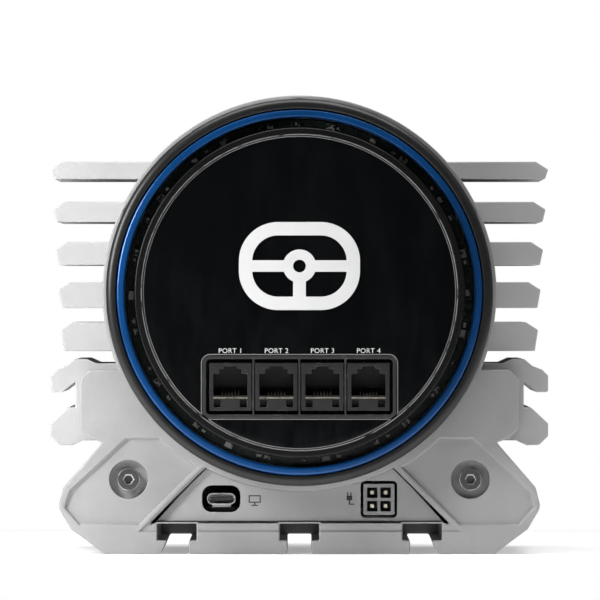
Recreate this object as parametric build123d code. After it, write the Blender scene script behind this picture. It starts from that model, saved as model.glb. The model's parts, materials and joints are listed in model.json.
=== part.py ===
"""Direct-drive racing wheel base: finned housing, motor, shaft with hub, rear port panel. Millimetres, +Z up.

The rear cover faces -Y and the output shaft points to +Y. The pieces are drawn from the housing's middle and
written with the origin at the bottom centre of the whole assembly.
"""
from build123d import *
import math
import os

os.makedirs("parts", exist_ok=True)

# -------- housing profile, drawn as (x, z) ----------------------------------------------------------------
housing_length = 128.0          # extruded length along the motor axis
stator_radius = 52.45
bore_fit = 0.05
drum_bore_radius = stator_radius + bore_fit
drum_wall = 9.5
drum_radius = drum_bore_radius + drum_wall
drum_above_base = 20.3          # underside of the drum to the base face
axis_height = drum_radius + drum_above_base

rail_reach = 78.4               # half the overall width
base_half_width = rail_reach - 17.0
leg_knee = (rail_reach - 6.6, 7.8)
leg_nose = (rail_reach - 2.5, 14.7)
leg_shoulder = (rail_reach - 4.1, 21.0)
leg_crotch = (rail_reach - 16.3, 35.1)
rail_slot_z = 48.5              # middle of the side slot
rail_slot_gap = 4.8
rail_slot_depth = 7.7
rail_lip = 5.4                  # radial length of the lower lip's ramp
rail_lower_drop = 14.3          # slot middle to the underside of the lower hook
rail_upper_rise = 12.9          # slot middle to the top of the rail

fin_count = 5                   # on each side
fin_pitch = 13.1
first_fin_drop = 13.9           # first fin's middle below the motor axis
first_fin_thickness = 9.1
fin_thinning = 0.9              # each fin is this much thinner than the one below
first_fin_reach = 75.2
fin_root_overlap = 5.0
fin_chamfer = 2.4

groove_count = 17               # cooling grooves across the top of the drum
groove_pitch_deg = 4.6
groove_width = 2.4
groove_depth = 1.9

# -------- base slots --------------------------------------------------------------------------------------
base_slot_width = 7.6
base_slot_height = 4.4
outer_slot_x = rail_reach - 39.8
slot_chamber_width = 12.4
slot_chamber_height = 5.2
chamber_top = base_slot_height + slot_chamber_height
bay_floor_z = chamber_top + 2.4

# -------- electronics bay under the drum ------------------------------------------------------------------
bay_side_sum = rail_reach - 20.9     # the bay's 45 degree sides follow |x| + z = this
bay_wall_inset = 1.4
bay_top_z = 33.0
bay_drum_wall = 0.6             # keeps the bay's roof below the drum
lead_passage_half_width = 18.0
lead_passage_length = 18.0
lead_drop = 11.0                # leads and ribbon turn down this far inside the housing's rear end
ribbon_x = 1.5
ribbon_width = 10.0

# -------- end frames --------------------------------------------------------------------------------------
rear_frame_thickness = 10.0
front_frame_thickness = 12.0
frame_shoulder_x = rail_reach - rail_slot_depth - 1.7
corner_screw_x = rail_reach - 24.6
corner_screw_z = 23.5
corner_recess_radius = 6.0
corner_recess_depth = 5.0
arm_ridge = 2.1                 # raised ridge along the arm's inner edge, measured along x
arm_outer_sum = rail_reach + 12.6    # the arm pocket's outer edge follows |x| + z = this
pocket_depth = 1.3
shoulder_z = 7.2
upper_screw_angles = (25.0, 90.0, 155.0)
upper_screw_radius = drum_radius - 4.1

housing_rear = -housing_length / 2
housing_front = housing_length / 2
rear_frame_face = housing_rear - rear_frame_thickness
front_frame_face = housing_front + front_frame_thickness

# -------- rear ring stack, radii from the motor axis ------------------------------------------------------
bezel_outer_radius = drum_radius - 1.2
bezel_inner_radius = bezel_outer_radius - 3.1
bezel_height = 14.0
bezel_bevel = 1.1
bezel_flange_thickness = 3.0
accent_outer_radius = bezel_inner_radius - 0.2
accent_inner_radius = accent_outer_radius - 2.6
accent_round = 1.2
rear_gap = 3.2                  # open ring between the accent ring and the cover
cover_radius = accent_inner_radius - rear_gap
cover_plate_radius = cover_radius - 2.5
cover_wall = 2.0
cover_plate_thickness = 1.6
cover_plate_gap = 0.2
cover_rim_rise = 0.7            # rim above the face plate
emblem_width = 38.0
emblem_height = 27.6
emblem_thickness = 0.4
emblem_rise = 8.3               # emblem's middle above the motor axis

# -------- boards and ports --------------------------------------------------------------------------------
board_thickness = 1.6
io_recess_radius = accent_inner_radius - 0.2
io_board_radius = io_recess_radius - 0.3
io_recess_depth = 5.0
cover_post_radius = 3.4
cover_post_circle = cover_radius - 5.2
cover_post_angles = (20.0, 90.0, 160.0, 248.0, 292.0)
jack_depth = 15.0
jack_width = 13.2
jack_height = 15.0
jack_pitch = 14.44
jack_count = 4
jack_frame_width = 60.8
jack_frame_height = 19.6
jack_edge_overlap = 0.55        # the frame's square corners would pass the face plate's edge by this
jack_drop = math.sqrt((cover_plate_radius + jack_edge_overlap) ** 2 - (jack_frame_width / 2) ** 2)
jack_drop -= jack_frame_height / 2      # jacks' middle below the motor axis
jack_frame_wall = 1.1
jack_frame_corner = 2.4
jack_cavity_width = 10.7
jack_cavity_height = 6.9
jack_cavity_depth = 12.0
jack_cavity_drop = 3.4          # jack's top edge to the cavity's top
jack_latch_width = 7.0
jack_latch_tip_width = 4.2
contact_count = 6
contact_pitch = 1.02
contact_width = 0.4

driver_board_gap = 1.0          # board underside above the bay floor
driver_board_z = bay_floor_z + driver_board_gap
driver_top_z = driver_board_z + board_thickness
driver_side_gap = 2.5
driver_board_half_width = bay_side_sum - bay_wall_inset - driver_top_z - driver_side_gap
driver_end_gap = 4.0            # board's front end inside the housing's end
inlet_board_gap = 0.1
usb_x = -24.6
usb_foot = 1.0
usb_width = 9.0
usb_height = 3.6
usb_length = 16.0
usb_window = (12.0, 8.4)
inlet_x = 25.0
inlet_size = 9.8
inlet_cell = 3.3
inlet_pitch = 4.2
inlet_length = 12.0
inlet_window = (11.4, 11.6)
panel_thickness = 1.5
panel_recess = 2.5              # panel's outer face behind the frame's face
panel_gap = 0.3
panel_bottom_z = chamber_top + 0.8
inlet_z = panel_bottom_z + 1.0 + inlet_window[1] / 2

# -------- motor -------------------------------------------------------------------------------------------
stator_length = 60.0
stator_yoke = 8.4
slot_depth = 11.05              # yoke to the stator's bore
stator_bore_radius = stator_radius - stator_yoke - slot_depth
tooth_count = 12
tooth_width = 9.0
tooth_half_pitch = math.tan(math.pi / tooth_count)
slot_mouth = 3.7
tooth_tip_width = 2 * stator_bore_radius * tooth_half_pitch - slot_mouth
tooth_tip_depth = 2.2
insulator_thickness = 1.5
coil_gap = 0.2
coil_spacing = 4.0              # between neighbouring coils at their narrowest
coil_low_radius = stator_bore_radius + tooth_tip_depth + 1.0
coil_thickness = coil_low_radius * tooth_half_pitch - tooth_width / 2 - coil_gap - coil_spacing / 2
coil_end_turn = 3.5
coil_end_y = stator_length / 2 + insulator_thickness + coil_gap + coil_thickness + coil_end_turn
air_gap = 0.8
rotor_radius = stator_bore_radius - air_gap
magnet_count = 10
magnet_thickness = 3.6
magnet_gap = 0.05
magnet_circle = rotor_radius - 5.7
magnet_rib = 3.0                # rotor iron between neighbouring magnets
magnet_width = 2 * (magnet_circle - magnet_thickness / 2) * math.tan(math.pi / magnet_count) - magnet_rib
rotor_seat_radius = 14.0
seat_gap = 0.02

# -------- shaft and bearings: bore radius, outer radius, width, ball radius, ball count -------------------
shaft_bore_radius = 6.0
shaft_shoulder_radius = 18.5
front_bearing = {"bore": 15.0, "outer": 31.0, "width": 16.0, "ball": 4.7, "balls": 9}
rear_bearing = {"bore": 12.5, "outer": 23.5, "width": 12.0, "ball": 3.2, "balls": 10}
ball_gap = 0.12
bearing_land = 0.5              # ring edge to the ball circle, as a share of the ball radius
hub_wall = 6.5
preload_washer_thickness = 1.0
encoder_magnet_radius = 4.0
encoder_magnet_length = 2.2
encoder_air_gap = 1.2
encoder_board_radius = 19.0
encoder_bore_radius = 15.0
front_lip = 2.0
retainer_thickness = 2.5
retainer_screw_circle = 34.6

# -------- front cover and output hub ----------------------------------------------------------------------
front_cover_depth = 12.0
front_cover_wall = 2.5
front_cover_opening = 24.0
hub_start = front_frame_face + 8.0
hub_sleeve_radius = 21.0
hub_sleeve_length = 20.0
hub_nose_radius = 20.0
hub_nose_length = 24.0
hub_groove_start = 13.0
hub_groove_width = 4.0
hub_groove_depth = 1.6
hub_ball_pockets = 3
clamp_outer_radius = 28.5
clamp_width = 12.0
clamp_slit = 1.6
shaft_front = hub_start + 16.0
connector_radius = 11.0
front_cover_radius = bezel_outer_radius
button_radius = 5.5
button_drop = front_cover_radius - 9.8      # button's middle below the motor axis
button_gap = 0.3
button_proud = 1.4
button_travel = 0.8

# -------- screws: shank radius, head radius, head height, key radius --------------------------------------
screw_m3 = {"shank": 1.5, "head": 2.75, "height": 3.0, "key": 1.25}
screw_m4 = {"shank": 2.0, "head": 3.5, "height": 4.0, "key": 1.6}
screw_hole_gap = 0.25
head_gap = 0.3
thread_grip = 10.0


# ======== helpers =========================================================================================
def section(points):
    """Flat face through the points, in order."""
    return make_face(Polyline(*points, close=True))


def slab(face, y_low, y_high):
    """Extrude a section drawn as (x, z) from y_low to y_high."""
    plane = Plane(origin=(0, y_high, 0), x_dir=(1, 0, 0), z_dir=(0, -1, 0))
    return extrude(plane * face, amount=y_high - y_low)


def block(x_range, y_range, z_range):
    """Plain box between two corners."""
    size = [high - low for low, high in (x_range, y_range, z_range)]
    middle = [(high + low) / 2 for low, high in (x_range, y_range, z_range)]
    return Pos(*middle) * Box(*size)


def rod(x, z, radius, y_low, y_high):
    """Round bar parallel to the motor axis."""
    return slab(Pos(x, z) * Circle(radius), y_low, y_high)


def turned(points):
    """Turn a (radius, y) outline about the motor axis."""
    return Pos(0, 0, axis_height) * revolve(section(points), Axis.Y, 360)


def ring(outer, inner, y_low, y_high):
    """Plain ring on the motor axis."""
    return turned([(inner, y_low), (outer, y_low), (outer, y_high), (inner, y_high)])


def on_circle(radius, angle):
    """(x, z) at an angle on a circle round the motor axis."""
    return (radius * math.cos(math.radians(angle)), axis_height + radius * math.sin(math.radians(angle)))


def about_axis(shape, angle):
    """Copy of a shape turned about the motor axis."""
    return Pos(0, 0, axis_height) * Rot(0, -angle, 0) * Pos(0, 0, -axis_height) * shape


def group(shapes):
    """Separate solids kept together in one node."""
    return Compound([solid for shape in shapes for solid in shape.solids()])


def rounded(face, corners):
    """Round the vertices nearest to the given (x, z, radius) corners."""
    for x, z, radius in corners:
        nearest = min(face.vertices(), key=lambda v: math.hypot(v.X - x, v.Y - z))
        face = fillet(nearest, radius)
    return face


def both_sides(face):
    """A face and its mirror image in the middle plane."""
    return face + mirror(face, Plane.YZ)


def cap_screw(x, z, seat_y, length, size, head_towards):
    """Socket-head screw: head on seat_y, pointing away from head_towards (-1 rear, +1 front)."""
    head_end = seat_y + head_towards * size["height"]
    tip = seat_y - head_towards * length
    key_floor = seat_y + head_towards * size["height"] * 0.4
    body = rod(x, z, size["head"], min(seat_y, head_end), max(seat_y, head_end))
    body += rod(x, z, size["shank"], min(seat_y, tip), max(seat_y, tip))
    key = slab(Pos(x, z) * RegularPolygon(size["key"], 6), min(key_floor, head_end), max(key_floor, head_end))
    return body - key


# ======== housing =========================================================================================
def rail_points():
    """Right-hand side rail, from the crotch over the leg up to the web on the drum."""
    half_gap = rail_slot_gap / 2
    profile = [
        (17.0, -12.8), (10.1, -12.8), (6.9, -rail_lower_drop), (2.9, -rail_lower_drop), (0, -11.5),
        (0, -7.5), (rail_lip, -half_gap), (rail_slot_depth, -half_gap), (rail_slot_depth, half_gap + 3.1),
        (3.8, half_gap), (0.4, half_gap), (0, half_gap + 0.4), (0, 7.6), (1.9, 9.5), (5.0, 10.7),
        (7.6, rail_upper_rise), (11.3, rail_upper_rise), (14.4, 11.5), (24.0, 11.5),
    ]
    return [(rail_reach - inset, rail_slot_z + rise) for inset, rise in profile]


def leg_points():
    """Right-hand leg, from the middle of the base to the crotch under the rail."""
    return [(0, 0), (base_half_width, 0), leg_knee, leg_nose, leg_shoulder, leg_crotch]


def drum_circle(radius):
    """Circle on the motor axis, as an (x, z) sketch."""
    return Pos(0, axis_height) * Circle(radius)


def base_slots(chambers):
    """Three slots in the base; the outer two have one sloping wall. Chambers take sliding nuts."""
    half = base_slot_width / 2
    middle = section([(-half, -1), (half, -1), (half, base_slot_height), (-half, base_slot_height)])
    outer = section([
        (outer_slot_x - half, -1), (outer_slot_x + half + 1.6, -1), (outer_slot_x + half + 1.2, 0),
        (outer_slot_x + half - 0.7, base_slot_height), (outer_slot_x - half, base_slot_height),
    ])
    slots = middle + both_sides(outer)
    if chambers:
        chamber_z = base_slot_height + slot_chamber_height / 2 - 0.05
        for x in (-outer_slot_x, 0, outer_slot_x):
            slots += Pos(x, chamber_z) * Rectangle(slot_chamber_width, slot_chamber_height + 0.1)
    return slots


def bay_section(inset, bottom):
    """Room between the 45 degree arms, under the drum."""
    reach = bay_side_sum - inset
    room = section([(-(reach - bottom), bottom), (reach - bottom, bottom),
                    (reach - bay_top_z, bay_top_z), (-(reach - bay_top_z), bay_top_z)])
    return room - drum_circle(drum_radius + bay_drum_wall)


def fins():
    """Side fins reaching out of the drum, each thinner and a little longer than the one below."""
    shapes = None
    for index in range(fin_count):
        middle = -first_fin_drop + index * fin_pitch
        half = (first_fin_thickness - index * fin_thinning) / 2
        reach = first_fin_reach + index * (rail_reach - first_fin_reach) / (fin_count - 1)
        farthest = abs(middle) + half
        root = math.sqrt(drum_radius ** 2 - farthest ** 2) - fin_root_overlap
        z = axis_height + middle
        fin = section([
            (root, z - half), (reach - 1.0, z - half), (reach, z + half - fin_chamfer),
            (reach - fin_chamfer * 1.6, z + half), (root, z + half),
        ])
        shapes = both_sides(fin) if shapes is None else shapes + both_sides(fin)
    return shapes


def drum_grooves():
    """Narrow cooling grooves along the top of the drum."""
    shapes = None
    for index in range(groove_count):
        angle = 90 + (index - (groove_count - 1) / 2) * groove_pitch_deg
        cut = Pos(drum_radius, 0) * Rectangle(2 * groove_depth, groove_width)
        cut = Pos(0, axis_height) * Rot(0, 0, angle) * cut
        shapes = cut if shapes is None else shapes + cut
    return shapes


def housing_section():
    """Full section of the extruded housing, without its bores."""
    right = section(leg_points() + rail_points() + [(0, rail_slot_z + 11.5)])
    right = rounded(right, [(*leg_nose, 4.0), (*leg_shoulder, 3.0), (rail_reach - 2.9, rail_slot_z - 14.3, 2.0),
                            (rail_reach - 7.6, rail_slot_z + rail_upper_rise, 1.6)])
    return both_sides(right) + drum_circle(drum_radius) + fins()


def screw_places():
    """(x, z) of every screw that holds an end frame: two at the legs, three round the drum."""
    places = [(corner_screw_x, corner_screw_z), (-corner_screw_x, corner_screw_z)]
    return places + [on_circle(upper_screw_radius, angle) for angle in upper_screw_angles]


def housing_extrusion():
    """Finned aluminium housing with the motor bore, the electronics bay, side rails and base slots."""
    profile = housing_section() - drum_grooves() - base_slots(True) - drum_circle(drum_bore_radius)
    profile -= bay_section(bay_wall_inset, bay_floor_z)
    body = slab(profile, housing_rear, housing_front)
    passage_end = housing_rear + lead_passage_length
    passage_top = axis_height - drum_bore_radius + 6
    body -= block((-lead_passage_half_width, lead_passage_half_width), (housing_rear + 4, passage_end),
                  (bay_floor_z + 2, passage_top))
    holes = []
    for index, (x, z) in enumerate(screw_places()):
        radius = screw_m4["shank"] if index < 2 else screw_m3["shank"]
        holes.append(rod(x, z, radius, housing_rear - 1, housing_rear + thread_grip + 3))
        holes.append(rod(x, z, radius, housing_front - thread_grip - 3, housing_front + 1))
    return body - holes


# ======== end frames ======================================================================================
def frame_section(chambers):
    """Outline of an end frame: drum collar, legs and a shoulder beside each rail."""
    right = section(leg_points() + [
        (frame_shoulder_x - 3, rail_slot_z - 12), (frame_shoulder_x, rail_slot_z - 9),
        (frame_shoulder_x, rail_slot_z + 6.5), (frame_shoulder_x - 3, rail_slot_z + 9.5), (0, rail_slot_z + 9.5),
    ])
    right = rounded(right, [(*leg_nose, 4.0), (*leg_shoulder, 3.0)])
    return both_sides(right) + drum_circle(drum_radius) - base_slots(chambers)


def arm_pocket():
    """Shallow pocket in each diagonal arm, between its inner ridge and its outer lip."""
    inner = bay_side_sum + arm_ridge
    low = shoulder_z + 2.0
    high = corner_screw_z + 13.0
    lip = 2.0
    band = section([
        (inner - low, low), (leg_knee[0] - lip - 0.6, low), (leg_nose[0] - lip, leg_nose[1]),
        (leg_shoulder[0] - lip, leg_shoulder[1] - 1.0), (arm_outer_sum - high, high), (inner - high, high),
    ])
    return both_sides(band - drum_circle(drum_radius + 1.6))


def frame_holes(face_y, inner_y, direction):
    """Clearance holes and head recesses for the frame screws. direction is +1 on the front frame."""
    cuts = []
    for index, (x, z) in enumerate(screw_places()):
        size = screw_m4 if index < 2 else screw_m3
        recess_radius = corner_recess_radius if index < 2 else screw_m3["head"] + head_gap
        depth = corner_recess_depth if index < 2 else size["height"] + head_gap
        floor = face_y - direction * depth
        low, high = sorted((face_y + direction, inner_y - direction))
        cuts.append(rod(x, z, size["shank"] + screw_hole_gap, low, high))
        low, high = sorted((face_y + direction, floor))
        cuts.append(rod(x, z, recess_radius, low, high))
    return cuts


def rear_end_frame():
    """Cast rear frame: board recess, rear bearing seat, port window, pocketed diagonal arms."""
    body = slab(frame_section(True), rear_frame_face, housing_rear)
    floor = rear_frame_face + io_recess_depth
    body -= slab(drum_circle(io_recess_radius), rear_frame_face - 1, floor)
    for angle in cover_post_angles:
        x, z = on_circle(cover_post_circle, angle)
        body += rod(x, z, cover_post_radius + 0.6, rear_frame_face, floor + 0.5)
    seat_start = housing_rear
    body += ring(rear_bearing["outer"] + hub_wall, rear_bearing["outer"], seat_start - 0.5,
                 seat_start + preload_washer_thickness + rear_bearing["width"])
    body -= slab(drum_circle(encoder_bore_radius), floor - 1, housing_rear + 1)
    body -= slab(arm_pocket(), rear_frame_face - 1, rear_frame_face + pocket_depth)
    body -= slab(bay_section(0, shoulder_z), rear_frame_face - 1, rear_frame_face + pocket_depth * 0.6)
    body -= slab(bay_section(0.6, panel_bottom_z - panel_gap), rear_frame_face - 1,
                 rear_frame_face + panel_recess + panel_thickness)
    body -= slab(bay_section(4.0, panel_bottom_z + 1.4), rear_frame_face, housing_rear + 1)
    for angle in cover_post_angles:
        x, z = on_circle(cover_post_circle, angle)
        body -= rod(x, z, screw_m3["shank"] + screw_hole_gap, rear_frame_face - 1, housing_rear + 1)
        head_seat = housing_rear - screw_m3["height"] - 0.2
        body -= rod(x, z, screw_m3["head"] + head_gap, head_seat, housing_rear + 1)
    body -= block((ribbon_x - 1, ribbon_x + ribbon_width + 1), (floor - 1, housing_rear + 1),
                  (ribbon_z - 1.6, ribbon_z + 1.6))
    return body - frame_holes(rear_frame_face, housing_rear, -1)


def front_end_frame():
    """Cast front frame with the front bearing seat."""
    body = slab(frame_section(False), housing_front, front_frame_face)
    seat_end = front_frame_face
    seat_start = seat_end - front_bearing["width"]
    body += ring(front_bearing["outer"] + hub_wall, front_bearing["outer"] - 4, seat_start - front_lip,
                 housing_front + 0.5)
    relief_inner = front_bearing["outer"] + hub_wall + 0.5
    relief = ring(drum_bore_radius - 3, relief_inner, housing_front - 1, housing_front + 6)
    body -= relief
    body -= slab(drum_circle(front_bearing["outer"] - 4), seat_start - front_lip - 1, front_frame_face + 1)
    body -= slab(drum_circle(front_bearing["outer"]), seat_start, front_frame_face + 1)
    body -= slab(arm_pocket(), front_frame_face - pocket_depth, front_frame_face + 1)
    body -= slab(bay_section(0, shoulder_z), front_frame_face - pocket_depth, front_frame_face + 1)
    body -= button_switch_pocket()
    for x, z in retainer_screw_places():
        body -= rod(x, z, screw_m3["shank"], front_frame_face - 8, front_frame_face + 1)
    for x, z in front_cover_screw_places():
        body -= rod(x, z, screw_m3["shank"], front_frame_face - 9, front_frame_face + 1)
    return body - frame_holes(front_frame_face, housing_front, 1)


def frame_screws(face_y, direction):
    """The five screws of one end frame."""
    shapes = []
    for index, (x, z) in enumerate(screw_places()):
        size = screw_m4 if index < 2 else screw_m3
        depth = corner_recess_depth if index < 2 else size["height"] + head_gap
        thickness = rear_frame_thickness if direction < 0 else front_frame_thickness
        length = thickness - depth + thread_grip
        shapes.append(cap_screw(x, z, face_y - direction * depth, length, size, direction))
    return group(shapes)


# ======== rear ring stack and cover =======================================================================
bezel_rear = rear_frame_face - bezel_height
io_board_rear = rear_frame_face - board_thickness
jack_face = io_board_rear - jack_depth
cover_plate_face = jack_face - 0.4
cover_face = cover_plate_face + cover_plate_thickness      # where the face plate seats
cover_rim = cover_plate_face - cover_rim_rise
cover_skirt = io_board_rear - 4.0                            # open gap under the skirt for air


def rear_bezel_ring():
    """Dark bevelled ring round the rear opening, with a ledge that carries the accent ring."""
    ledge = rear_frame_face - bezel_flange_thickness
    return turned([
        (bezel_outer_radius, rear_frame_face), (bezel_outer_radius, bezel_rear + bezel_bevel),
        (bezel_outer_radius - bezel_bevel, bezel_rear), (bezel_inner_radius + 0.5, bezel_rear),
        (bezel_inner_radius, bezel_rear + 0.5), (bezel_inner_radius, ledge), (accent_inner_radius + 0.3, ledge),
        (accent_inner_radius + 0.3, rear_frame_face),
    ])


def blue_accent_ring():
    """Blue ring of rounded section inside the bezel."""
    ledge = rear_frame_face - bezel_flange_thickness
    rear = bezel_rear + 0.3
    profile = section([(accent_inner_radius, ledge), (accent_outer_radius, ledge),
                       (accent_outer_radius, rear), (accent_inner_radius, rear)])
    profile = rounded(profile, [(radius, rear, accent_round) for radius in (accent_outer_radius, accent_inner_radius)])
    return Pos(0, 0, axis_height) * revolve(profile, Axis.Y, 360)


def jack_window(grow):
    """Rounded window round the four jacks, as an (x, z) sketch."""
    corner = jack_frame_corner + grow
    return Pos(0, axis_height - jack_drop) * RectangleRounded(jack_frame_width + 2 * grow,
                                                              jack_frame_height + 2 * grow, corner)


def rear_cover():
    """Cup-shaped cover with a bevelled rim, a jack window and five screw posts."""
    plate_seat = cover_plate_radius + cover_plate_gap
    body = turned([
        (0, cover_face), (plate_seat, cover_face), (plate_seat, cover_rim + 0.5), (plate_seat + 0.5, cover_rim),
        (cover_radius - 0.9, cover_rim), (cover_radius, cover_rim + 0.9), (cover_radius, cover_skirt),
        (cover_radius - cover_wall, cover_skirt), (cover_radius - cover_wall, cover_face + cover_wall),
        (0, cover_face + cover_wall),
    ])
    for angle in cover_post_angles:
        x, z = on_circle(cover_post_circle, angle)
        body += rod(x, z, cover_post_radius, cover_face + cover_wall - 0.5, io_board_rear)
    for angle in cover_post_angles:
        x, z = on_circle(cover_post_circle, angle)
        body -= rod(x, z, screw_m3["shank"], cover_face + cover_wall, io_board_rear + 1)
    return body - slab(jack_window(0.15), cover_rim - 1, io_board_rear + 1)


def cover_face_plate():
    """Flat black plate set into the cover."""
    plate = slab(drum_circle(cover_plate_radius) - jack_window(0.15), cover_plate_face, cover_face)
    return plate


def cover_emblem():
    """Plain steering-wheel pictogram, inlaid on the face plate."""
    width, height, band = emblem_width, emblem_height, 4.2
    outer = RectangleRounded(width, height, height / 2 - 1.5)
    inner = RectangleRounded(width - 2 * band, height - 2 * band, height / 2 - 1.5 - band)
    spokes = Rectangle(width - band, 3.6) + Pos(0, -height / 4) * Rectangle(4.0, height / 2 - band / 2)
    mark = (outer - inner) + spokes + Circle(5.2) - Circle(2.0)
    mark = Pos(0, axis_height + emblem_rise) * mark
    return slab(mark, cover_plate_face - emblem_thickness, cover_plate_face)


def jack_frame():
    """Thin frame round the four jacks with three dividers."""
    inner = Pos(0, axis_height - jack_drop) * RectangleRounded(
        jack_frame_width - 2 * jack_frame_wall, jack_frame_height - 2 * jack_frame_wall,
        jack_frame_corner - jack_frame_wall)
    rear = cover_plate_face - 0.3
    body = slab(jack_window(0) - inner, rear, cover_face + cover_wall)
    for index in range(jack_count - 1):
        x = (index - (jack_count - 2) / 2) * jack_pitch
        body += slab(Pos(x, axis_height - jack_drop) * Rectangle(0.6, jack_frame_height - jack_frame_wall),
                     jack_face, cover_face)
    return body


def jack_x(index):
    """Middle of a jack across the row."""
    return (index - (jack_count - 1) / 2) * jack_pitch


jack_top = axis_height - jack_drop + jack_height / 2
cavity_top = jack_top - jack_cavity_drop
cavity_bottom = cavity_top - jack_cavity_height


def port_jack(index):
    """Modular jack: stepped latch opening above, two small blind recesses below."""
    x = jack_x(index)
    body = slab(Pos(x, axis_height - jack_drop) * Rectangle(jack_width, jack_height), jack_face, io_board_rear)
    middle = (cavity_top + cavity_bottom) / 2
    opening = Pos(x, middle) * Rectangle(jack_cavity_width, jack_cavity_height)
    opening += Pos(x, cavity_top + 0.7) * Rectangle(jack_latch_width, 1.6)
    opening += Pos(x, cavity_top + 1.9) * Rectangle(jack_latch_tip_width, 1.0)
    body -= slab(opening, jack_face - 1, jack_face + jack_cavity_depth)
    for side in (-1, 1):
        recess = Pos(x + side * 4.1, cavity_bottom - 2.4) * Rectangle(2.2, 2.4)
        body -= slab(recess, jack_face - 1, jack_face + 3)
    return body


def jack_contacts():
    """Six sprung contacts in each jack and one bright strip across its lower lip."""
    shapes = []
    back = jack_face + jack_cavity_depth
    for index in range(jack_count):
        for place in range(contact_count):
            x = jack_x(index) + (place - (contact_count - 1) / 2) * contact_pitch
            side = [(back - 0.1, cavity_bottom + 2.1), (back - 0.1, cavity_bottom + 1.6),
                    (jack_face + 2.4, cavity_bottom + 0.25), (jack_face + 2.0, cavity_bottom + 0.7)]
            wire = extrude(Plane.YZ * section(side), amount=contact_width / 2, both=True)
            shapes.append(Pos(x, 0, 0) * wire)
        strip_z = cavity_bottom - 0.65
        half = jack_cavity_width / 2
        shapes.append(block((jack_x(index) - half, jack_x(index) + half), (jack_face - 0.25, jack_face),
                            (strip_z - 0.22, strip_z + 0.22)))
    return group(shapes)


def io_board():
    """Round connector board, clamped between the frame's bosses and the cover's posts."""
    outline = drum_circle(io_board_radius)
    for angle in cover_post_angles:
        x, z = on_circle(cover_post_circle, angle)
        outline -= Pos(x, z) * Circle(screw_m3["shank"] + screw_hole_gap)
    return slab(outline, io_board_rear, rear_frame_face)


def io_components():
    """Small parts round the edge of the connector board and its processor."""
    shapes = []
    sizes = ((2.0, 1.2, 0.9), (1.6, 0.9, 0.8), (2.6, 1.6, 1.1), (1.2, 0.8, 0.6))
    for index in range(44):
        angle = index * 360 / 44 + 3 * math.sin(index * 2.3)
        length, width, height = sizes[(index * 7) % len(sizes)]
        part = block((52.9 - width / 2, 52.9 + width / 2), (io_board_rear - height, io_board_rear),
                     (axis_height - length / 2, axis_height + length / 2))
        shapes.append(about_axis(part, angle))
    shapes.append(block((-6, 6), (io_board_rear - 1.2, io_board_rear), (axis_height + 8, axis_height + 20)))
    shapes.append(block((14, 22), (io_board_rear - 1.6, io_board_rear), (axis_height + 2, axis_height + 8)))
    return group(shapes)


def rear_cover_screws():
    """Screws from the frame's inner side through the board into the cover's posts."""
    seat = housing_rear - screw_m3["height"] - 0.2
    length = seat - io_board_rear + 8
    return group([cap_screw(*on_circle(cover_post_circle, angle), seat, length, screw_m3, 1)
                  for angle in cover_post_angles])


# ======== port panel ======================================================================================
panel_face = rear_frame_face + panel_recess
inlet_rear = panel_face - 0.6
usb_z = driver_top_z + usb_foot + usb_height / 2


def port_panel():
    """Plate between the arms with rounded windows for the data port and the power inlet."""
    face = bay_section(0.6 + panel_gap * 2, panel_bottom_z)
    face -= Pos(usb_x, usb_z) * RectangleRounded(*usb_window, 3.0)
    face -= Pos(inlet_x, inlet_z) * RectangleRounded(*inlet_window, 1.4)
    return slab(face, panel_face, panel_face + panel_thickness)


def usb_port_shell():
    """Metal shell of the data port, with a foot down to the driver board."""
    corner = usb_height / 2 - 0.01
    wall = 0.35
    tube = RectangleRounded(usb_width, usb_height, corner)
    hole = RectangleRounded(usb_width - 2 * wall, usb_height - 2 * wall, corner - wall)
    rear = panel_face - 0.4
    body = slab(Pos(usb_x, usb_z) * tube, rear, rear + usb_length)
    body -= slab(Pos(usb_x, usb_z) * hole, rear - 1, rear + usb_length - 3)
    foot_z = usb_z - usb_height / 2
    end = rear + usb_length
    foot = block((usb_x - 3, usb_x + 3), (end - 4, end), (driver_top_z, foot_z + 0.4))
    return body + foot


def usb_port_tongue():
    """Contact tongue inside the data port."""
    rear = panel_face + 0.6
    return block((usb_x - 3.3, usb_x + 3.3), (rear, rear + usb_length - 4), (usb_z - 0.35, usb_z + 0.35))


def inlet_cells():
    """Middles of the four cells of the power inlet."""
    half = inlet_pitch / 2
    return [(inlet_x + i * half, inlet_z + j * half) for i in (-1, 1) for j in (-1, 1)]


def power_inlet():
    """Square four-way power connector with a latch rib on top."""
    end = inlet_rear + inlet_length
    body = slab(Pos(inlet_x, inlet_z) * RectangleRounded(inlet_size, inlet_size, 0.5), inlet_rear, end)
    for x, z in inlet_cells():
        body -= slab(Pos(x, z) * RectangleRounded(inlet_cell, inlet_cell, 0.4), inlet_rear - 1, end - 2)
    return body


def power_inlet_pins():
    """Square pins of the power inlet."""
    rear = panel_face + 2.0
    front = rear + inlet_length - 4.6
    return group([slab(Pos(x, z) * Rectangle(1.1, 1.1), rear, front) for x, z in inlet_cells()])


# ======== driver electronics ==============================================================================
board_rear = inlet_rear + inlet_length + inlet_board_gap
board_front = housing_front - driver_end_gap
ribbon_z = axis_height - io_recess_radius + 7.3
ribbon_socket_y = housing_rear + lead_drop + 14.5
board_screw_places = [(side * (driver_board_half_width - 5), y) for side in (-1, 1)
                      for y in (board_rear + 8, board_front - 8)]


def driver_board():
    """Motor driver board on the bay's floor."""
    board = block((-driver_board_half_width, driver_board_half_width), (board_rear, board_front),
                  (driver_board_z, driver_top_z))
    for x, y in board_screw_places:
        board -= Pos(x, y, driver_board_z) * Cylinder(screw_m3["shank"] + screw_hole_gap, 8)
    return board


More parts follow.
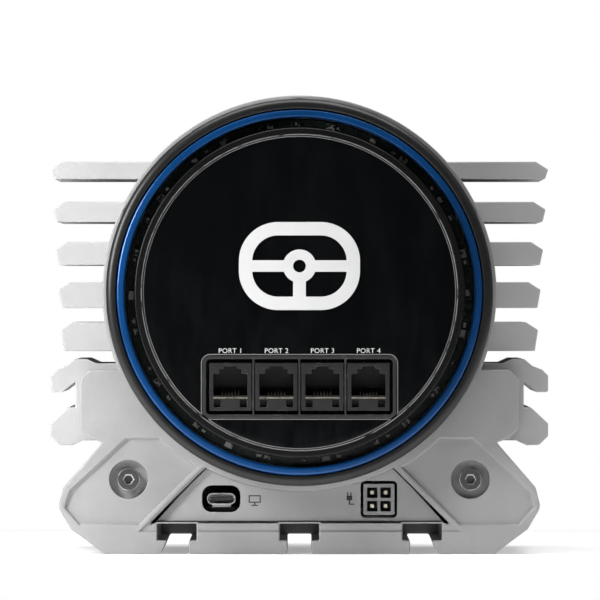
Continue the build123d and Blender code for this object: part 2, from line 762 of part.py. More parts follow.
def driver_board_spacers():
    """Spacers that hold the board off the floor."""
    return group([Pos(x, y, bay_floor_z + driver_board_gap / 2) * (Cylinder(3.0, driver_board_gap)
                  - Cylinder(screw_m3["shank"] + 0.1, driver_board_gap)) for x, y in board_screw_places])


def driver_board_screws():
    """Low-head screws through the board and spacers."""
    shapes = []
    for x, y in board_screw_places:
        length = board_thickness + driver_board_gap
        body = Pos(x, y, driver_top_z - length / 2) * Cylinder(screw_m3["shank"], length)
        body += Pos(x, y, driver_top_z + 0.9) * Cylinder(screw_m3["head"], 1.8)
        shapes.append(body - Pos(x, y, driver_top_z + 1.4) * extrude(RegularPolygon(1.2, 6), amount=1))
    return group(shapes)


def capacitors():
    """Four bulk capacitors lying along the bay, where its roof is highest."""
    radius, length, x = 4.9, 26.0, 28.0
    shapes = []
    for side in (-1, 1):
        for start in (-22.0, 10.0):
            shapes.append(rod(side * x, driver_top_z + radius + 0.15, radius, start, start + length))
    return group(shapes)


def power_transistors():
    """Six flat power packages along the middle of the board."""
    shapes = []
    for side in (-1, 1):
        for index in range(3):
            y = -14.0 + index * 16.0
            shapes.append(block((side * 8 - 5, side * 8 + 5), (y, y + 9), (driver_top_z, driver_top_z + 2.3)))
    return group(shapes)


def driver_components():
    """Chips, chokes and connectors on the driver board."""
    top = driver_top_z
    front = board_front - 12.0
    shapes = [block((-6, 6), (front - 10, front), (top, top + 1.2)),
              block((-20, -14), (front - 9, front), (top, top + 3.0)),
              block((14, 20), (front - 9, front), (top, top + 3.0)),
              block((ribbon_x, ribbon_x + ribbon_width), (ribbon_socket_y, ribbon_socket_y + 4), (top, top + 3.4))]
    for index in range(12):
        x = -18 + (index % 6) * 7.2
        y = -28.0 + (index // 6) * 4.0
        shapes.append(block((x, x + 2.4), (y, y + 1.4), (top, top + 1.0)))
    return group(shapes)


def phase_leads():
    """Three insulated leads from the windings down to the driver board."""
    shapes = []
    start_z = axis_height - stator_radius + stator_yoke + 2.0
    drop_y = housing_rear + lead_drop
    for index in range(3):
        x = -14.0 + index * 4.5
        route = [(-coil_end_y - 0.4, start_z), (drop_y, start_z - 1.0), (drop_y - 1.0, driver_top_z + 4.0),
                 (drop_y + 11.0, driver_top_z + 1.6)]
        points = [(x, y, z) for y, z in route]
        path = FilletPolyline(*points, radius=3.4)
        start = Plane(origin=points[0], z_dir=path % 0)
        shapes.append(sweep(start * Circle(1.2), path=path))
    return group(shapes)


def board_ribbon():
    """Flat ribbon cable from the connector board to the driver board."""
    drop_y = housing_rear + lead_drop - 2.0
    route = [(rear_frame_face, ribbon_z), (drop_y, ribbon_z), (drop_y, driver_top_z + 4.4),
             (ribbon_socket_y - 0.1, driver_top_z + 2.4)]
    path = FilletPolyline(*route, radius=2.4)
    strip = trace(path, 0.9)
    return Pos(ribbon_x, 0, 0) * extrude(Plane.YZ * strip, amount=ribbon_width)


# ======== motor ===========================================================================================
def stator_section(grow):
    """Yoke ring with teeth and tooth tips, as an (x, z) sketch."""
    face = drum_circle(stator_radius) - drum_circle(stator_radius - stator_yoke)
    inner = stator_bore_radius
    for index in range(tooth_count):
        angle = index * 360 / tooth_count
        length = stator_radius - stator_yoke - inner
        tooth = Pos(inner + length / 2 + 0.5, 0) * Rectangle(length + 1.0, tooth_width + 2 * grow)
        tip = Pos(inner + tooth_tip_depth / 2, 0) * Rectangle(tooth_tip_depth, tooth_tip_width)
        face += Pos(0, axis_height) * Rot(0, 0, angle) * (tooth + tip)
    return face - drum_circle(inner)


def stator_core():
    """Laminated stator core."""
    return slab(stator_section(0), -stator_length / 2, stator_length / 2)


def stator_insulators():
    """Insulating end plates of the stator."""
    half = stator_length / 2
    return group([slab(stator_section(0), half, half + insulator_thickness),
                  slab(stator_section(0), -half - insulator_thickness, -half)])


def stator_coils():
    """One wound coil on each tooth."""
    inner_half = tooth_width / 2 + coil_gap
    high = stator_radius - stator_yoke - 0.8
    outside = RectangleRounded(2 * (inner_half + coil_thickness), 2 * coil_end_y, coil_thickness)
    inside = Rectangle(2 * inner_half, stator_length + 2 * (insulator_thickness + coil_gap))
    winding = extrude(Plane.XY.offset(axis_height + coil_low_radius) * (outside - inside),
                      amount=high - coil_low_radius)
    return group([about_axis(winding, index * 360 / tooth_count) for index in range(tooth_count)])


def magnet_rectangles(grow):
    """Rotor magnets as (x, z) rectangles on their circle."""
    faces = []
    for index in range(magnet_count):
        rectangle = Pos(magnet_circle, 0) * Rectangle(magnet_thickness + 2 * grow, magnet_width + 2 * grow)
        faces.append(Pos(0, axis_height) * Rot(0, 0, index * 360 / magnet_count) * rectangle)
    return faces


def rotor_core():
    """Laminated rotor core with magnet pockets."""
    face = drum_circle(rotor_radius) - drum_circle(rotor_seat_radius + seat_gap)
    for rectangle in magnet_rectangles(magnet_gap):
        face -= rectangle
    return slab(face, -stator_length / 2, stator_length / 2)


def rotor_magnets():
    """Bar magnets buried in the rotor."""
    return group([slab(rectangle, -stator_length / 2, stator_length / 2) for rectangle in magnet_rectangles(0)])


rear_seat_start = housing_rear + preload_washer_thickness
rear_seat_end = rear_seat_start + rear_bearing["width"]
front_seat_start = front_frame_face - front_bearing["width"]
shaft_rear = rear_frame_face + io_recess_depth + encoder_air_gap + encoder_magnet_length


def shaft():
    """Hollow output shaft: rear seat, rotor seat, shoulder, front seat and hub seat."""
    rotor_end = stator_length / 2
    clip_y = front_frame_face + 0.2
    seat = front_bearing["bore"] - seat_gap
    body = turned([
        (shaft_bore_radius, shaft_rear + 8), (0, shaft_rear + 8), (0, shaft_rear), (9.0, shaft_rear),
        (rear_bearing["bore"] - seat_gap, shaft_rear + 1.0),
        (rear_bearing["bore"] - seat_gap, rear_seat_end + 1), (rotor_seat_radius, rear_seat_end + 1),
        (rotor_seat_radius, rotor_end), (shaft_shoulder_radius, rotor_end),
        (shaft_shoulder_radius, front_seat_start), (seat, front_seat_start), (seat, clip_y),
        (seat - 0.9, clip_y), (seat - 0.9, clip_y + 1.8), (seat, clip_y + 1.8), (seat, hub_start),
        (rotor_seat_radius, hub_start), (rotor_seat_radius, shaft_front - 1), (rotor_seat_radius - 1, shaft_front),
        (shaft_bore_radius, shaft_front),
    ])
    return body


def bearing_ring(outer, inner, bearing, start):
    """One bearing ring with its ball groove."""
    circle = (bearing["bore"] + bearing["outer"]) / 2
    profile = section([(inner, start), (outer, start), (outer, start + bearing["width"]),
                       (inner, start + bearing["width"])])
    profile -= Pos(circle, start + bearing["width"] / 2) * Circle(bearing["ball"] + ball_gap)
    return Pos(0, 0, axis_height) * revolve(profile, Axis.Y, 360)


def bearing_outer(bearing, start):
    """Outer ring, seated in its frame."""
    circle = (bearing["bore"] + bearing["outer"]) / 2
    return bearing_ring(bearing["outer"] - seat_gap, circle + bearing["ball"] * bearing_land, bearing, start)


def bearing_inner(bearing, start):
    """Inner ring, seated on the shaft."""
    circle = (bearing["bore"] + bearing["outer"]) / 2
    return bearing_ring(circle - bearing["ball"] * bearing_land, bearing["bore"], bearing, start)


def ball_places(bearing, start):
    """Middles of a bearing's balls."""
    circle = (bearing["bore"] + bearing["outer"]) / 2
    y = start + bearing["width"] / 2
    count = bearing["balls"]
    return [(x, y, z) for x, z in (on_circle(circle, i * 360 / count) for i in range(count))]


def bearing_balls(bearing, start):
    """Balls of one bearing."""
    return group([Pos(*place) * Sphere(bearing["ball"]) for place in ball_places(bearing, start)])


def bearing_cage(bearing, start):
    """Thin cage ring with a pocket for each ball."""
    circle = (bearing["bore"] + bearing["outer"]) / 2
    middle = start + bearing["width"] / 2
    half = bearing["ball"] * 1.15
    body = ring(circle + 0.8, circle - 0.8, middle - half, middle + half)
    pocket = Pos(circle, middle, axis_height) * Rot(0, 90, 0) * Cylinder(bearing["ball"] + 0.15, 6)
    return body - [about_axis(pocket, index * 360 / bearing["balls"]) for index in range(bearing["balls"])]


def preload_washer():
    """Spring washer that loads the rear bearing."""
    return ring(rear_bearing["outer"] - 0.3, rear_bearing["outer"] - 4.5, housing_rear, rear_seat_start)


def encoder_magnet():
    """Round magnet on the rear end of the shaft."""
    return ring(encoder_magnet_radius, 0, shaft_rear - encoder_magnet_length, shaft_rear)


def encoder_board():
    """Small sensor board over the shaft's end, on the floor of the board recess."""
    floor = rear_frame_face + io_recess_depth
    board = slab(drum_circle(encoder_board_radius), floor - 1.2, floor)
    chip = block((-2.5, 2.5), (floor - 2.2, floor - 1.2), (axis_height - 2.5, axis_height + 2.5))
    return board + chip


# ======== front ===========================================================================================
def retainer_screw_places():
    """Screws of the bearing retainer."""
    return [on_circle(retainer_screw_circle, 45 + i * 90) for i in range(4)]


def bearing_retainer():
    """Flat ring that holds the front bearing's outer ring."""
    face = drum_circle(front_bearing["outer"] + hub_wall) - drum_circle(front_bearing["outer"] - 3)
    for x, z in retainer_screw_places():
        face -= Pos(x, z) * Circle(screw_m3["shank"] + screw_hole_gap)
    return slab(face, front_frame_face, front_frame_face + retainer_thickness)


def retainer_screws():
    """Four short screws through the retainer."""
    return group([cap_screw(x, z, front_frame_face + retainer_thickness, 8.5, screw_m3, 1)
                  for x, z in retainer_screw_places()])


def shaft_circlip():
    """Snap ring in front of the front bearing, with its gap at the bottom."""
    seat = front_bearing["bore"] - 0.8
    clip_y = front_frame_face + 0.2
    body = ring(front_bearing["bore"] + 2.6, seat, clip_y + 0.15, clip_y + 1.65)
    return body - block((-2.5, 2.5), (clip_y - 1, clip_y + 3), (axis_height - 20, axis_height - 5))


front_cover_face = front_frame_face + front_cover_depth


def front_cover_screw_places():
    """Screws of the front cover."""
    return [on_circle(front_cover_radius - 7.3, 45 + i * 90) for i in range(4)]


def front_cover():
    """Dished front cover with a bevelled edge, an opening for the hub and a button hole."""
    outer = front_cover_radius
    wall = front_cover_wall
    body = turned([
        (outer, front_frame_face), (outer, front_cover_face - 3.0), (outer - 3.0, front_cover_face),
        (44.0, front_cover_face), (40.0, front_cover_face - 1.6), (front_cover_opening + 3, front_cover_face - 1.6),
        (front_cover_opening, front_cover_face - 0.4), (front_cover_opening, front_cover_face - 1.6 - wall),
        (40.0, front_cover_face - 1.6 - wall), (44.0, front_cover_face - wall),
        (outer - wall - 1.5, front_cover_face - wall), (outer - wall, front_cover_face - wall - 1.5),
        (outer - wall, front_frame_face),
    ])
    for x, z in front_cover_screw_places():
        body += rod(x, z, 4.2, front_frame_face, front_cover_face - wall + 0.5)
    for x, z in front_cover_screw_places():
        body -= rod(x, z, screw_m3["shank"] + screw_hole_gap, front_frame_face - 1, front_cover_face + 1)
        head_seat = front_cover_face - screw_m3["height"] - 0.5
        body -= rod(x, z, screw_m3["head"] + head_gap, head_seat, front_cover_face + 1)
    button_z = axis_height - button_drop
    collar = rod(0, button_z, button_radius + button_gap + 1.6, front_cover_face - 5, front_cover_face - 0.2)
    body += collar & block((-20, 20), (front_cover_face - 6, front_cover_face), (button_z - 20, button_z + 20))
    return body - rod(0, button_z, button_radius + button_gap, front_frame_face, front_cover_face + 1)


def front_cover_screws():
    """Four screws of the front cover."""
    seat = front_cover_face - screw_m3["height"] - 0.5
    return group([cap_screw(x, z, seat, seat - front_frame_face + 8, screw_m3, 1)
                  for x, z in front_cover_screw_places()])


def power_button():
    """Round button with a flange behind the cover and a short stem."""
    z = axis_height - button_drop
    outer = front_cover_face + button_proud
    flange_y = front_cover_face - 5 - 0.4
    body = rod(0, z, button_radius, flange_y - 1.2, outer)
    body = chamfer(body.edges().sort_by(Axis.Y)[-1], 0.6)
    body += rod(0, z, button_radius + 1.1, flange_y - 1.2, flange_y)
    return body + rod(0, z, 1.6, flange_y - 2.6, flange_y - 1.0)


switch_front = front_cover_face - 5 - 0.4 - 2.6 - button_travel - 0.1


def button_switch_pocket():
    """Pocket in the front frame for the switch board."""
    z = axis_height - button_drop
    return block((-9, 9), (front_frame_face - 3.0, front_frame_face + 1), (z - 5, z + 5))


def button_switch():
    """Switch on its small board, set in a pocket of the front frame."""
    z = axis_height - button_drop
    floor = front_frame_face - 3.0
    board = block((-8.7, 8.7), (floor, floor + 1.2), (z - 4.7, z + 4.7))
    return board + block((-3, 3), (floor + 1.2, switch_front), (z - 3, z + 3))


# ======== output hub ======================================================================================
sleeve_end = hub_start + hub_sleeve_length
nose_end = sleeve_end + hub_nose_length
clamp_start = hub_start + 6.0
clamp_end = clamp_start + clamp_width


def quick_release_hub():
    """Output hub: slit clamp sleeve on the shaft, then a grooved nose with three ball pockets."""
    groove = sleeve_end + hub_groove_start
    bore = rotor_seat_radius + seat_gap
    low = hub_nose_radius - hub_groove_depth
    body = turned([
        (bore, hub_start), (hub_sleeve_radius, hub_start), (hub_sleeve_radius, clamp_end),
        (hub_sleeve_radius + 4, clamp_end + 0.2), (hub_sleeve_radius + 4, sleeve_end), (hub_nose_radius, sleeve_end),
        (hub_nose_radius, groove), (low, groove + 0.8), (low, groove + hub_groove_width - 0.8),
        (hub_nose_radius, groove + hub_groove_width), (hub_nose_radius, nose_end - 2.5),
        (hub_nose_radius - 2.5, nose_end), (connector_radius + 0.1, nose_end), (connector_radius + 0.1, nose_end - 9),
        (8.0, nose_end - 9), (8.0, shaft_front + 0.5), (bore, shaft_front + 0.5),
    ])
    for index in range(4):
        slit = block((-clamp_slit / 2, clamp_slit / 2), (hub_start - 1, clamp_end - 0.5),
                     (axis_height + 10, axis_height + hub_sleeve_radius + 1))
        body -= about_axis(slit, 45 + index * 90)
    for index in range(hub_ball_pockets):
        pocket = Pos(0, groove + hub_groove_width / 2, axis_height + hub_nose_radius + 1.2) * Sphere(3.6)
        body -= about_axis(pocket, index * 360 / hub_ball_pockets)
    return body


def hub_clamp_collar():
    """Split clamp collar round the hub's sleeve, with a flat for its screws."""
    body = ring(clamp_outer_radius, hub_sleeve_radius + seat_gap, clamp_start, clamp_end)
    body = chamfer(body.edges().filter_by(GeomType.CIRCLE).sort_by(lambda e: e.radius)[-2:], 0.8)
    half = clamp_slit / 2
    body -= block((-half, half), (clamp_start - 1, clamp_end + 1), (axis_height + 15, axis_height + 32))
    for y in clamp_screw_rows():
        body -= clamp_screw_cutter(y)
    return body


def clamp_screw_rows():
    """Two rows of screws along the collar."""
    quarter = clamp_width / 4
    return (clamp_start + quarter, clamp_end - quarter)


clamp_screw_z = axis_height + (clamp_outer_radius + hub_sleeve_radius) / 2
clamp_screw = {"shank": 1.25, "head": 2.0, "height": 2.5}


def clamp_screw_cutter(y):
    """Hole and head recess of one clamp screw, across the slit."""
    hole = Pos(0, y, clamp_screw_z) * Rot(0, 90, 0) * Cylinder(clamp_screw["shank"] + 0.1, 22)
    recess = Pos(13.5, y, clamp_screw_z) * Rot(0, 90, 0) * Cylinder(clamp_screw["head"] + 0.25, 13)
    return hole + recess


def hub_clamp_screws():
    """Two screws that close the collar."""
    shapes = []
    for y in clamp_screw_rows():
        shank = Pos(-1.0, y, clamp_screw_z) * Rot(0, 90, 0) * Cylinder(clamp_screw["shank"], 16)
        head = Pos(7.0 + clamp_screw["height"] / 2, y, clamp_screw_z) * Rot(0, 90, 0) * Cylinder(
            clamp_screw["head"], clamp_screw["height"])
        key = Pos(7.0 + clamp_screw["height"], y, clamp_screw_z) * Rot(0, 90, 0) * extrude(
            RegularPolygon(1.1, 6), amount=1.2, both=True)
        shapes.append(shank + head - key)
    return group(shapes)


def wheel_connector():
    """Round six-way socket in the end of the hub, for the steering wheel's plug."""
    body = ring(connector_radius, 0, nose_end - 8.8, nose_end - 1.0)
    body -= ring(connector_radius - 1.6, 0, nose_end - 5.0, nose_end)
    body += ring(4.4, 0, nose_end - 5.2, nose_end - 1.6)
    return body


# ======== assembly ========================================================================================
nodes = {
    "housing_extrusion": housing_extrusion(),
    "rear_end_frame": rear_end_frame(),
    "front_end_frame": front_end_frame(),
    "rear_frame_screws": frame_screws(rear_frame_face, -1),
    "front_frame_screws": frame_screws(front_frame_face, 1),
    "rear_bezel_ring": rear_bezel_ring(),
    "blue_accent_ring": blue_accent_ring(),
    "rear_cover": rear_cover(),
    "cover_face_plate": cover_face_plate(),
    "cover_emblem": cover_emblem(),
    "jack_frame": jack_frame(),
    "jack_contacts": jack_contacts(),
    "io_board": io_board(),
    "io_components": io_components(),
    "rear_cover_screws": rear_cover_screws(),
    "port_panel": port_panel(),
    "usb_port_shell": usb_port_shell(),
    "usb_port_tongue": usb_port_tongue(),
    "power_inlet": power_inlet(),
    "power_inlet_pins": power_inlet_pins(),
    "driver_board": driver_board(),
    "driver_board_spacers": driver_board_spacers(),
    "driver_board_screws": driver_board_screws(),
    "driver_components": driver_components(),
    "capacitors": capacitors(),
    "power_transistors": power_transistors(),
    "phase_leads": phase_leads(),
    "board_ribbon": board_ribbon(),
    "stator_core": stator_core(),
    "stator_insulators": stator_insulators(),
    "stator_coils": stator_coils(),
    "rotor_core": rotor_core(),
    "rotor_magnets": rotor_magnets(),
    "shaft": shaft(),
    "rear_bearing_outer": bearing_outer(rear_bearing, rear_seat_start),
    "rear_bearing_inner": bearing_inner(rear_bearing, rear_seat_start),
    "rear_bearing_balls": bearing_balls(rear_bearing, rear_seat_start),
    "rear_bearing_cage": bearing_cage(rear_bearing, rear_seat_start),
    "front_bearing_outer": bearing_outer(front_bearing, front_seat_start),
    "front_bearing_inner": bearing_inner(front_bearing, front_seat_start),
    "front_bearing_balls": bearing_balls(front_bearing, front_seat_start),
    "front_bearing_cage": bearing_cage(front_bearing, front_seat_start),
    "preload_washer": preload_washer(),
    "encoder_magnet": encoder_magnet(),
    "encoder_board": encoder_board(),
    "bearing_retainer": bearing_retainer(),
    "retainer_screws": retainer_screws(),
    "shaft_circlip": shaft_circlip(),
    "front_cover": front_cover(),
    "front_cover_screws": front_cover_screws(),
    "power_button": power_button(),
    "button_switch": button_switch(),
    "quick_release_hub": quick_release_hub(),
    "hub_clamp_collar": hub_clamp_collar(),
    "hub_clamp_screws": hub_clamp_screws(),
    "wheel_connector": wheel_connector(),
}
for index in range(jack_count):
    nodes[f"port_jack_{index + 1}"] = port_jack(index)

middle_y = (cover_rim + nose_end) / 2
for name, shape in nodes.items():
    export_step(Pos(0, -middle_y, 0) * shape, f"parts/{name}.step")
print(len(nodes), "nodes written")
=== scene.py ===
"""Finished looks of a direct-drive racing wheel base, laid over its CAD frame.

Lengths are metres in the frame's own axes: the rear cover faces -Y and the output shaft points to +Y.
"""
import json
import math

import bmesh
import bpy
from bpy.props import FloatProperty, FloatVectorProperty, IntProperty, PointerProperty
from bpy.types import Operator, Panel, PropertyGroup
from mathutils import Matrix, Vector
from mathutils.geometry import area_tri


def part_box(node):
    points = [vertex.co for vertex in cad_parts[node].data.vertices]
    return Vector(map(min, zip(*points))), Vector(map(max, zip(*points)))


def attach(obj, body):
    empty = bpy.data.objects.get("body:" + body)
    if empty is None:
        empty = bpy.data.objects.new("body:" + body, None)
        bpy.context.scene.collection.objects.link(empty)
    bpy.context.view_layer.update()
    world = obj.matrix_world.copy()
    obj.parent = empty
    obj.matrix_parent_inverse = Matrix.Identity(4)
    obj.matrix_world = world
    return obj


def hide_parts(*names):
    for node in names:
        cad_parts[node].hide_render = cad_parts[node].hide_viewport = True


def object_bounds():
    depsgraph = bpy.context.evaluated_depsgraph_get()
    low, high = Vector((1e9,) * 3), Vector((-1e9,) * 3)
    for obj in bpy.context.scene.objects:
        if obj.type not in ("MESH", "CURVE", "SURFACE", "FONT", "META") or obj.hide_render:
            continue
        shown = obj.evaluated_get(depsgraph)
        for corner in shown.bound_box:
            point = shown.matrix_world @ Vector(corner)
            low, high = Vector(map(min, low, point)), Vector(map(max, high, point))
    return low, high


bl_info = {
    "name": "Racing Wheel Base",
    "version": (1, 0, 0),
    "blender": (4, 5, 0),
    "location": "3D View > Sidebar > Wheel Base",
    "description": "Builds the visible pieces, finishes and stage of a racing wheel base",
    "category": "Add Mesh",
}

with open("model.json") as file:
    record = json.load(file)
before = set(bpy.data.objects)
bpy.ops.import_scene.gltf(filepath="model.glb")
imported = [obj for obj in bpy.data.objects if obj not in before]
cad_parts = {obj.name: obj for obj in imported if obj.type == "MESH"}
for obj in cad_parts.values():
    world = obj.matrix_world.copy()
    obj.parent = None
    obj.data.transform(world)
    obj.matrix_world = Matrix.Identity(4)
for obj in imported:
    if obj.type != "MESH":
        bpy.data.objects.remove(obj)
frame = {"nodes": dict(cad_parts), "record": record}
cad_low, cad_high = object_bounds()
record = frame["record"]
node_slot = {row["node"]: row["material_slot"] for row in record["subparts"]}
node_body = {node: body for body, nodes in record["behaviour"]["bodies"].items() for node in nodes}
motor_axis = next(joint["pos_m"] for joint in record["behaviour"]["joints"] if joint["name"] == "shaft_spin")
axis_z = motor_axis[2]

MM = 0.001
MERGE_DISTANCE = 2e-6
FLAT_ANGLE = math.radians(0.6)      # faces nearer than this to one plane are joined
SMOOTH_ANGLE = math.radians(32)     # edges sharper than this stay crisp in the shading
CONE_ANGLE = math.radians(6)        # the same for the front cover and its shallow cone
CRISP_ANGLE = math.radians(38)      # edges sharper than this are rounded
TURNED_ANGLE = math.radians(50)     # the same for turned parts, screws and the emblem
PLATE_ANGLE = math.radians(60)      # the same for the face plate
SAME_PLANE = 0.999999               # cosine between the normals of faces in one plane
FOLD_AREA = 2e-8                    # a folded face's triangles cover this much more than its outline
TEXT_MERGE = 1e-7                   # merge distance for printed text
TEXT_SPACING = 1.08


# ---- settings
def length(label, description, millimetres):
    """A length setting, written here in millimetres and kept in metres."""
    return FloatProperty(name=label, description=description, default=millimetres * MM, unit="LENGTH",
                         precision=5)


def tint(label, description, colour):
    """A colour setting in linear values."""
    return FloatVectorProperty(name=label, description=description, default=colour, subtype="COLOR", size=3,
                               min=0.0, max=1.0)


def level(display):
    """Linear value of a 0-255 display level."""
    share = display / 255
    return share / 12.92 if share <= 0.04045 else ((share + 0.055) / 1.055) ** 2.4


def grey(display, warm=0.0):
    """Linear grey of a 0-255 display level, a little warmer or cooler if asked."""
    value = level(display)
    return (value * (1 + warm), value, value * (1 - warm))


class WheelBaseShape(PropertyGroup):
    """Sizes of the pieces that are not already fixed by the frame."""

    casting_edge: length("Casting edge", "Rounding along the edges of the cast frames", 0.45)
    extrusion_edge: length("Extrusion edge", "Rounding along the edges of the extruded housing", 0.35)
    moulding_edge: length("Moulding edge", "Rounding along the edges of small moulded parts", 0.12)
    screw_edge: length("Screw edge", "Rounding along the edges of screws and turned parts", 0.2)
    bezel_bevel: length("Bezel bevel", "Rounding round the outside of the dark ring", 1.9)
    bezel_inner_bevel: length("Bezel inner bevel", "Bevel round the inside of the dark ring", 0.5)
    ring_fit: length("Ring fit", "Gap between the blue ring and the dark ring", 0.2)
    accent_width: length("Blue ring width", "Radial width of the blue ring", 2.6)
    accent_rounding: length("Blue ring rounding", "Radius of the blue ring's rounded edge", 0.8)
    ledge: length("Ledge", "Thickness of the ledge under the blue ring", 3.0)
    rim_bevel: length("Rim bevel", "Bevel on the outer edge of the rear cover", 0.4)
    rim_inner_bevel: length("Rim inner bevel", "Bevel on the inner edge of the rear cover's rim", 0.35)
    plate_fit: length("Plate fit", "Gap between the face plate and the rim", 0.2)
    plate_edge: length("Plate edge", "Bevel round the face plate", 0.35)
    cover_wall: length("Cover wall", "Wall of the rear cover", 2.0)
    plate_gap: length("Plate gap", "Gap between the face plate and the cover's floor", 0.02)
    window_fit: length("Window fit", "Window's size beyond the jack frame, both sides together", 0.3)
    window_corner: length("Window corner", "Corner radius of the jack window", 2.5)
    emblem_edge: length("Emblem edge", "Rounding along the emblem's edges", 0.12)
    ledge_overlap: length("Ledge overlap", "Blue ring's inner edge past the ledge", 0.3)
    label_height: length("Label height", "Type size of the jack numbers", 2.15)
    label_rise: length("Label rise", "Middle of the labels above the top of the jack frame", 1.45)
    print_thickness: length("Print thickness", "Thickness of printed marks", 0.04)
    icon_size: length("Icon size", "Height of the two port marks", 4.2)
    power_mark_gap: length("Power mark gap", "Power mark to the middle of the power inlet", 9.3)
    data_mark_gap: length("Data mark gap", "Screen mark to the middle of the data port", 10.5)
    ring_steps: IntProperty(name="Ring steps", description="Facets round a full ring", default=192, min=48)


class WheelBaseColours(PropertyGroup):
    """Main colours of the finishes."""

    housing: tint("Housing", "Extruded housing", grey(176))
    casting: tint("Frames", "Cast end frames", grey(154))
    panel: tint("Port panel", "Plate round the lower ports", grey(150))
    bezel: tint("Bezel", "Dark ring round the rear opening", grey(46))
    blue: tint("Blue ring", "Accent ring", (0.0010, 0.053, 0.195))
    plate: tint("Face plate", "Flat black plate", (0.0016, 0.0019, 0.0022))
    moulding: tint("Mouldings", "Dark mouldings of the cover and jacks", grey(22))
    emblem: tint("Emblem", "Wheel mark and labels", grey(196))
    board: tint("Boards", "Circuit boards", (0.004, 0.007, 0.006))


class WheelBaseStage(PropertyGroup):
    """Camera, floor and lights."""

    camera_distance: FloatProperty(name="Camera distance", description="Camera to the rear cover", default=5.0,
                                   unit="LENGTH")
    view_width: length("View width", "Width of the view at the rear cover", 188.1)
    view_side: length("View side", "Middle of the view to the right of the motor axis", 0.16)
    view_drop: length("View drop", "Middle of the view below the motor axis", 2.35)
    floor_radius: FloatProperty(name="Floor radius", description="Radius of the floor disc", default=0.45,
                                unit="LENGTH")
    floor_glow: FloatProperty(name="Floor glow", description="Light given off by the floor, as a light table",
                              default=0.3)
    key_power: FloatProperty(name="Key light", description="Power of the near left light", default=0.85,
                             unit="POWER")
    fill_power: FloatProperty(name="Fill light", description="Power of the right light", default=0.2,
                              unit="POWER")
    top_power: FloatProperty(name="Top light", description="Power of the top light", default=7.5,
                             unit="POWER")
    backdrop: FloatProperty(name="Backdrop", description="Brightness of the backdrop", default=1.0)


# ---- node helpers
def add_node(tree, kind, sockets=None, **settings):
    """Add a node, set its options and its sockets; a socket given another node's socket is joined to it."""
    node = tree.nodes.new(kind)
    for name, value in settings.items():
        setattr(node, name, value)
    for key, value in (sockets or {}).items():
        if isinstance(value, bpy.types.NodeSocket):
            tree.links.new(value, node.inputs[key])
        else:
            node.inputs[key].default_value = value
    return node


def calc(tree, operation, first, second=0.0, third=0.0):
    """Result socket of one sum."""
    sockets = {0: first, 1: second, 2: third}
    return add_node(tree, "ShaderNodeMath", sockets, operation=operation).outputs[0]


def spread(tree, value, low, high, to_low=0.0, to_high=1.0):
    """Map a value from one range to another, clamped."""
    node = add_node(tree, "ShaderNodeMapRange", {0: value, 1: low, 2: high, 3: to_low, 4: to_high})
    return node.outputs[0]


def noise(tree, vector, scale, detail=3.0, roughness=0.55):
    """Noise value over a vector."""
    node = add_node(tree, "ShaderNodeTexNoise", {"Vector": vector, "Scale": scale, "Detail": detail,
                                                 "Roughness": roughness})
    return node.outputs[0]


def stretched(tree, vector, scale):
    """Vector scaled by a different amount on each axis."""
    return add_node(tree, "ShaderNodeMapping", {"Vector": vector, "Scale": scale}).outputs[0]


def object_point(tree):
    """Position on the object."""
    return add_node(tree, "ShaderNodeTexCoord").outputs["Object"]


def new_group(name, inputs, outputs):
    """Empty effect group with float inputs and outputs; returns its tree and its input and output nodes."""
    tree = bpy.data.node_groups.new(name, "ShaderNodeTree")
    for label, value in inputs.items():
        socket = tree.interface.new_socket(label, in_out="INPUT", socket_type="NodeSocketFloat")
        socket.default_value = value
    for label in outputs:
        tree.interface.new_socket(label, in_out="OUTPUT", socket_type="NodeSocketFloat")
    return tree, tree.nodes.new("NodeGroupInput"), tree.nodes.new("NodeGroupOutput")


def close_group(tree, out, **results):
    """Join the results to the group's outputs."""
    for label, socket in results.items():
        tree.links.new(socket, out.inputs[label])
    return tree


def axis_distance(tree):
    """Distance from the motor axis, and the position along it."""
    parts = add_node(tree, "ShaderNodeSeparateXYZ", {0: object_point(tree)}).outputs
    up = calc(tree, "SUBTRACT", parts["Z"], axis_z)
    square = calc(tree, "ADD", calc(tree, "MULTIPLY", parts["X"], parts["X"]), calc(tree, "MULTIPLY", up, up))
    return calc(tree, "SQRT", square), parts["Y"]


# ---- surface effects
# Each pattern puts out Height for bump, Tone for colour and Gloss for roughness.
PATTERN_OUTPUTS = ("Height", "Tone", "Gloss")


def blasted_effect():
    """Bead-blasted metal: sand-fine grain over a slow cloudy change of tone."""
    tree, given, out = new_group("Blasted Metal", {"Pitch": 0.0004}, PATTERN_OUTPUTS)
    point = object_point(tree)
    rate = calc(tree, "DIVIDE", 1.0, given.outputs["Pitch"])
    grain = noise(tree, point, rate, 4.0, 0.7)
    cloud = noise(tree, point, 34.0, 3.0, 0.6)
    patch = noise(tree, point, 160.0, 2.0, 0.5)
    tone = calc(tree, "MULTIPLY_ADD", grain, 0.35, calc(tree, "MULTIPLY", cloud, 0.65))
    gloss = calc(tree, "MULTIPLY_ADD", patch, 0.6, calc(tree, "MULTIPLY", grain, 0.4))
    return close_group(tree, out, Height=grain, Tone=spread(tree, tone, 0.3, 0.7), Gloss=gloss)


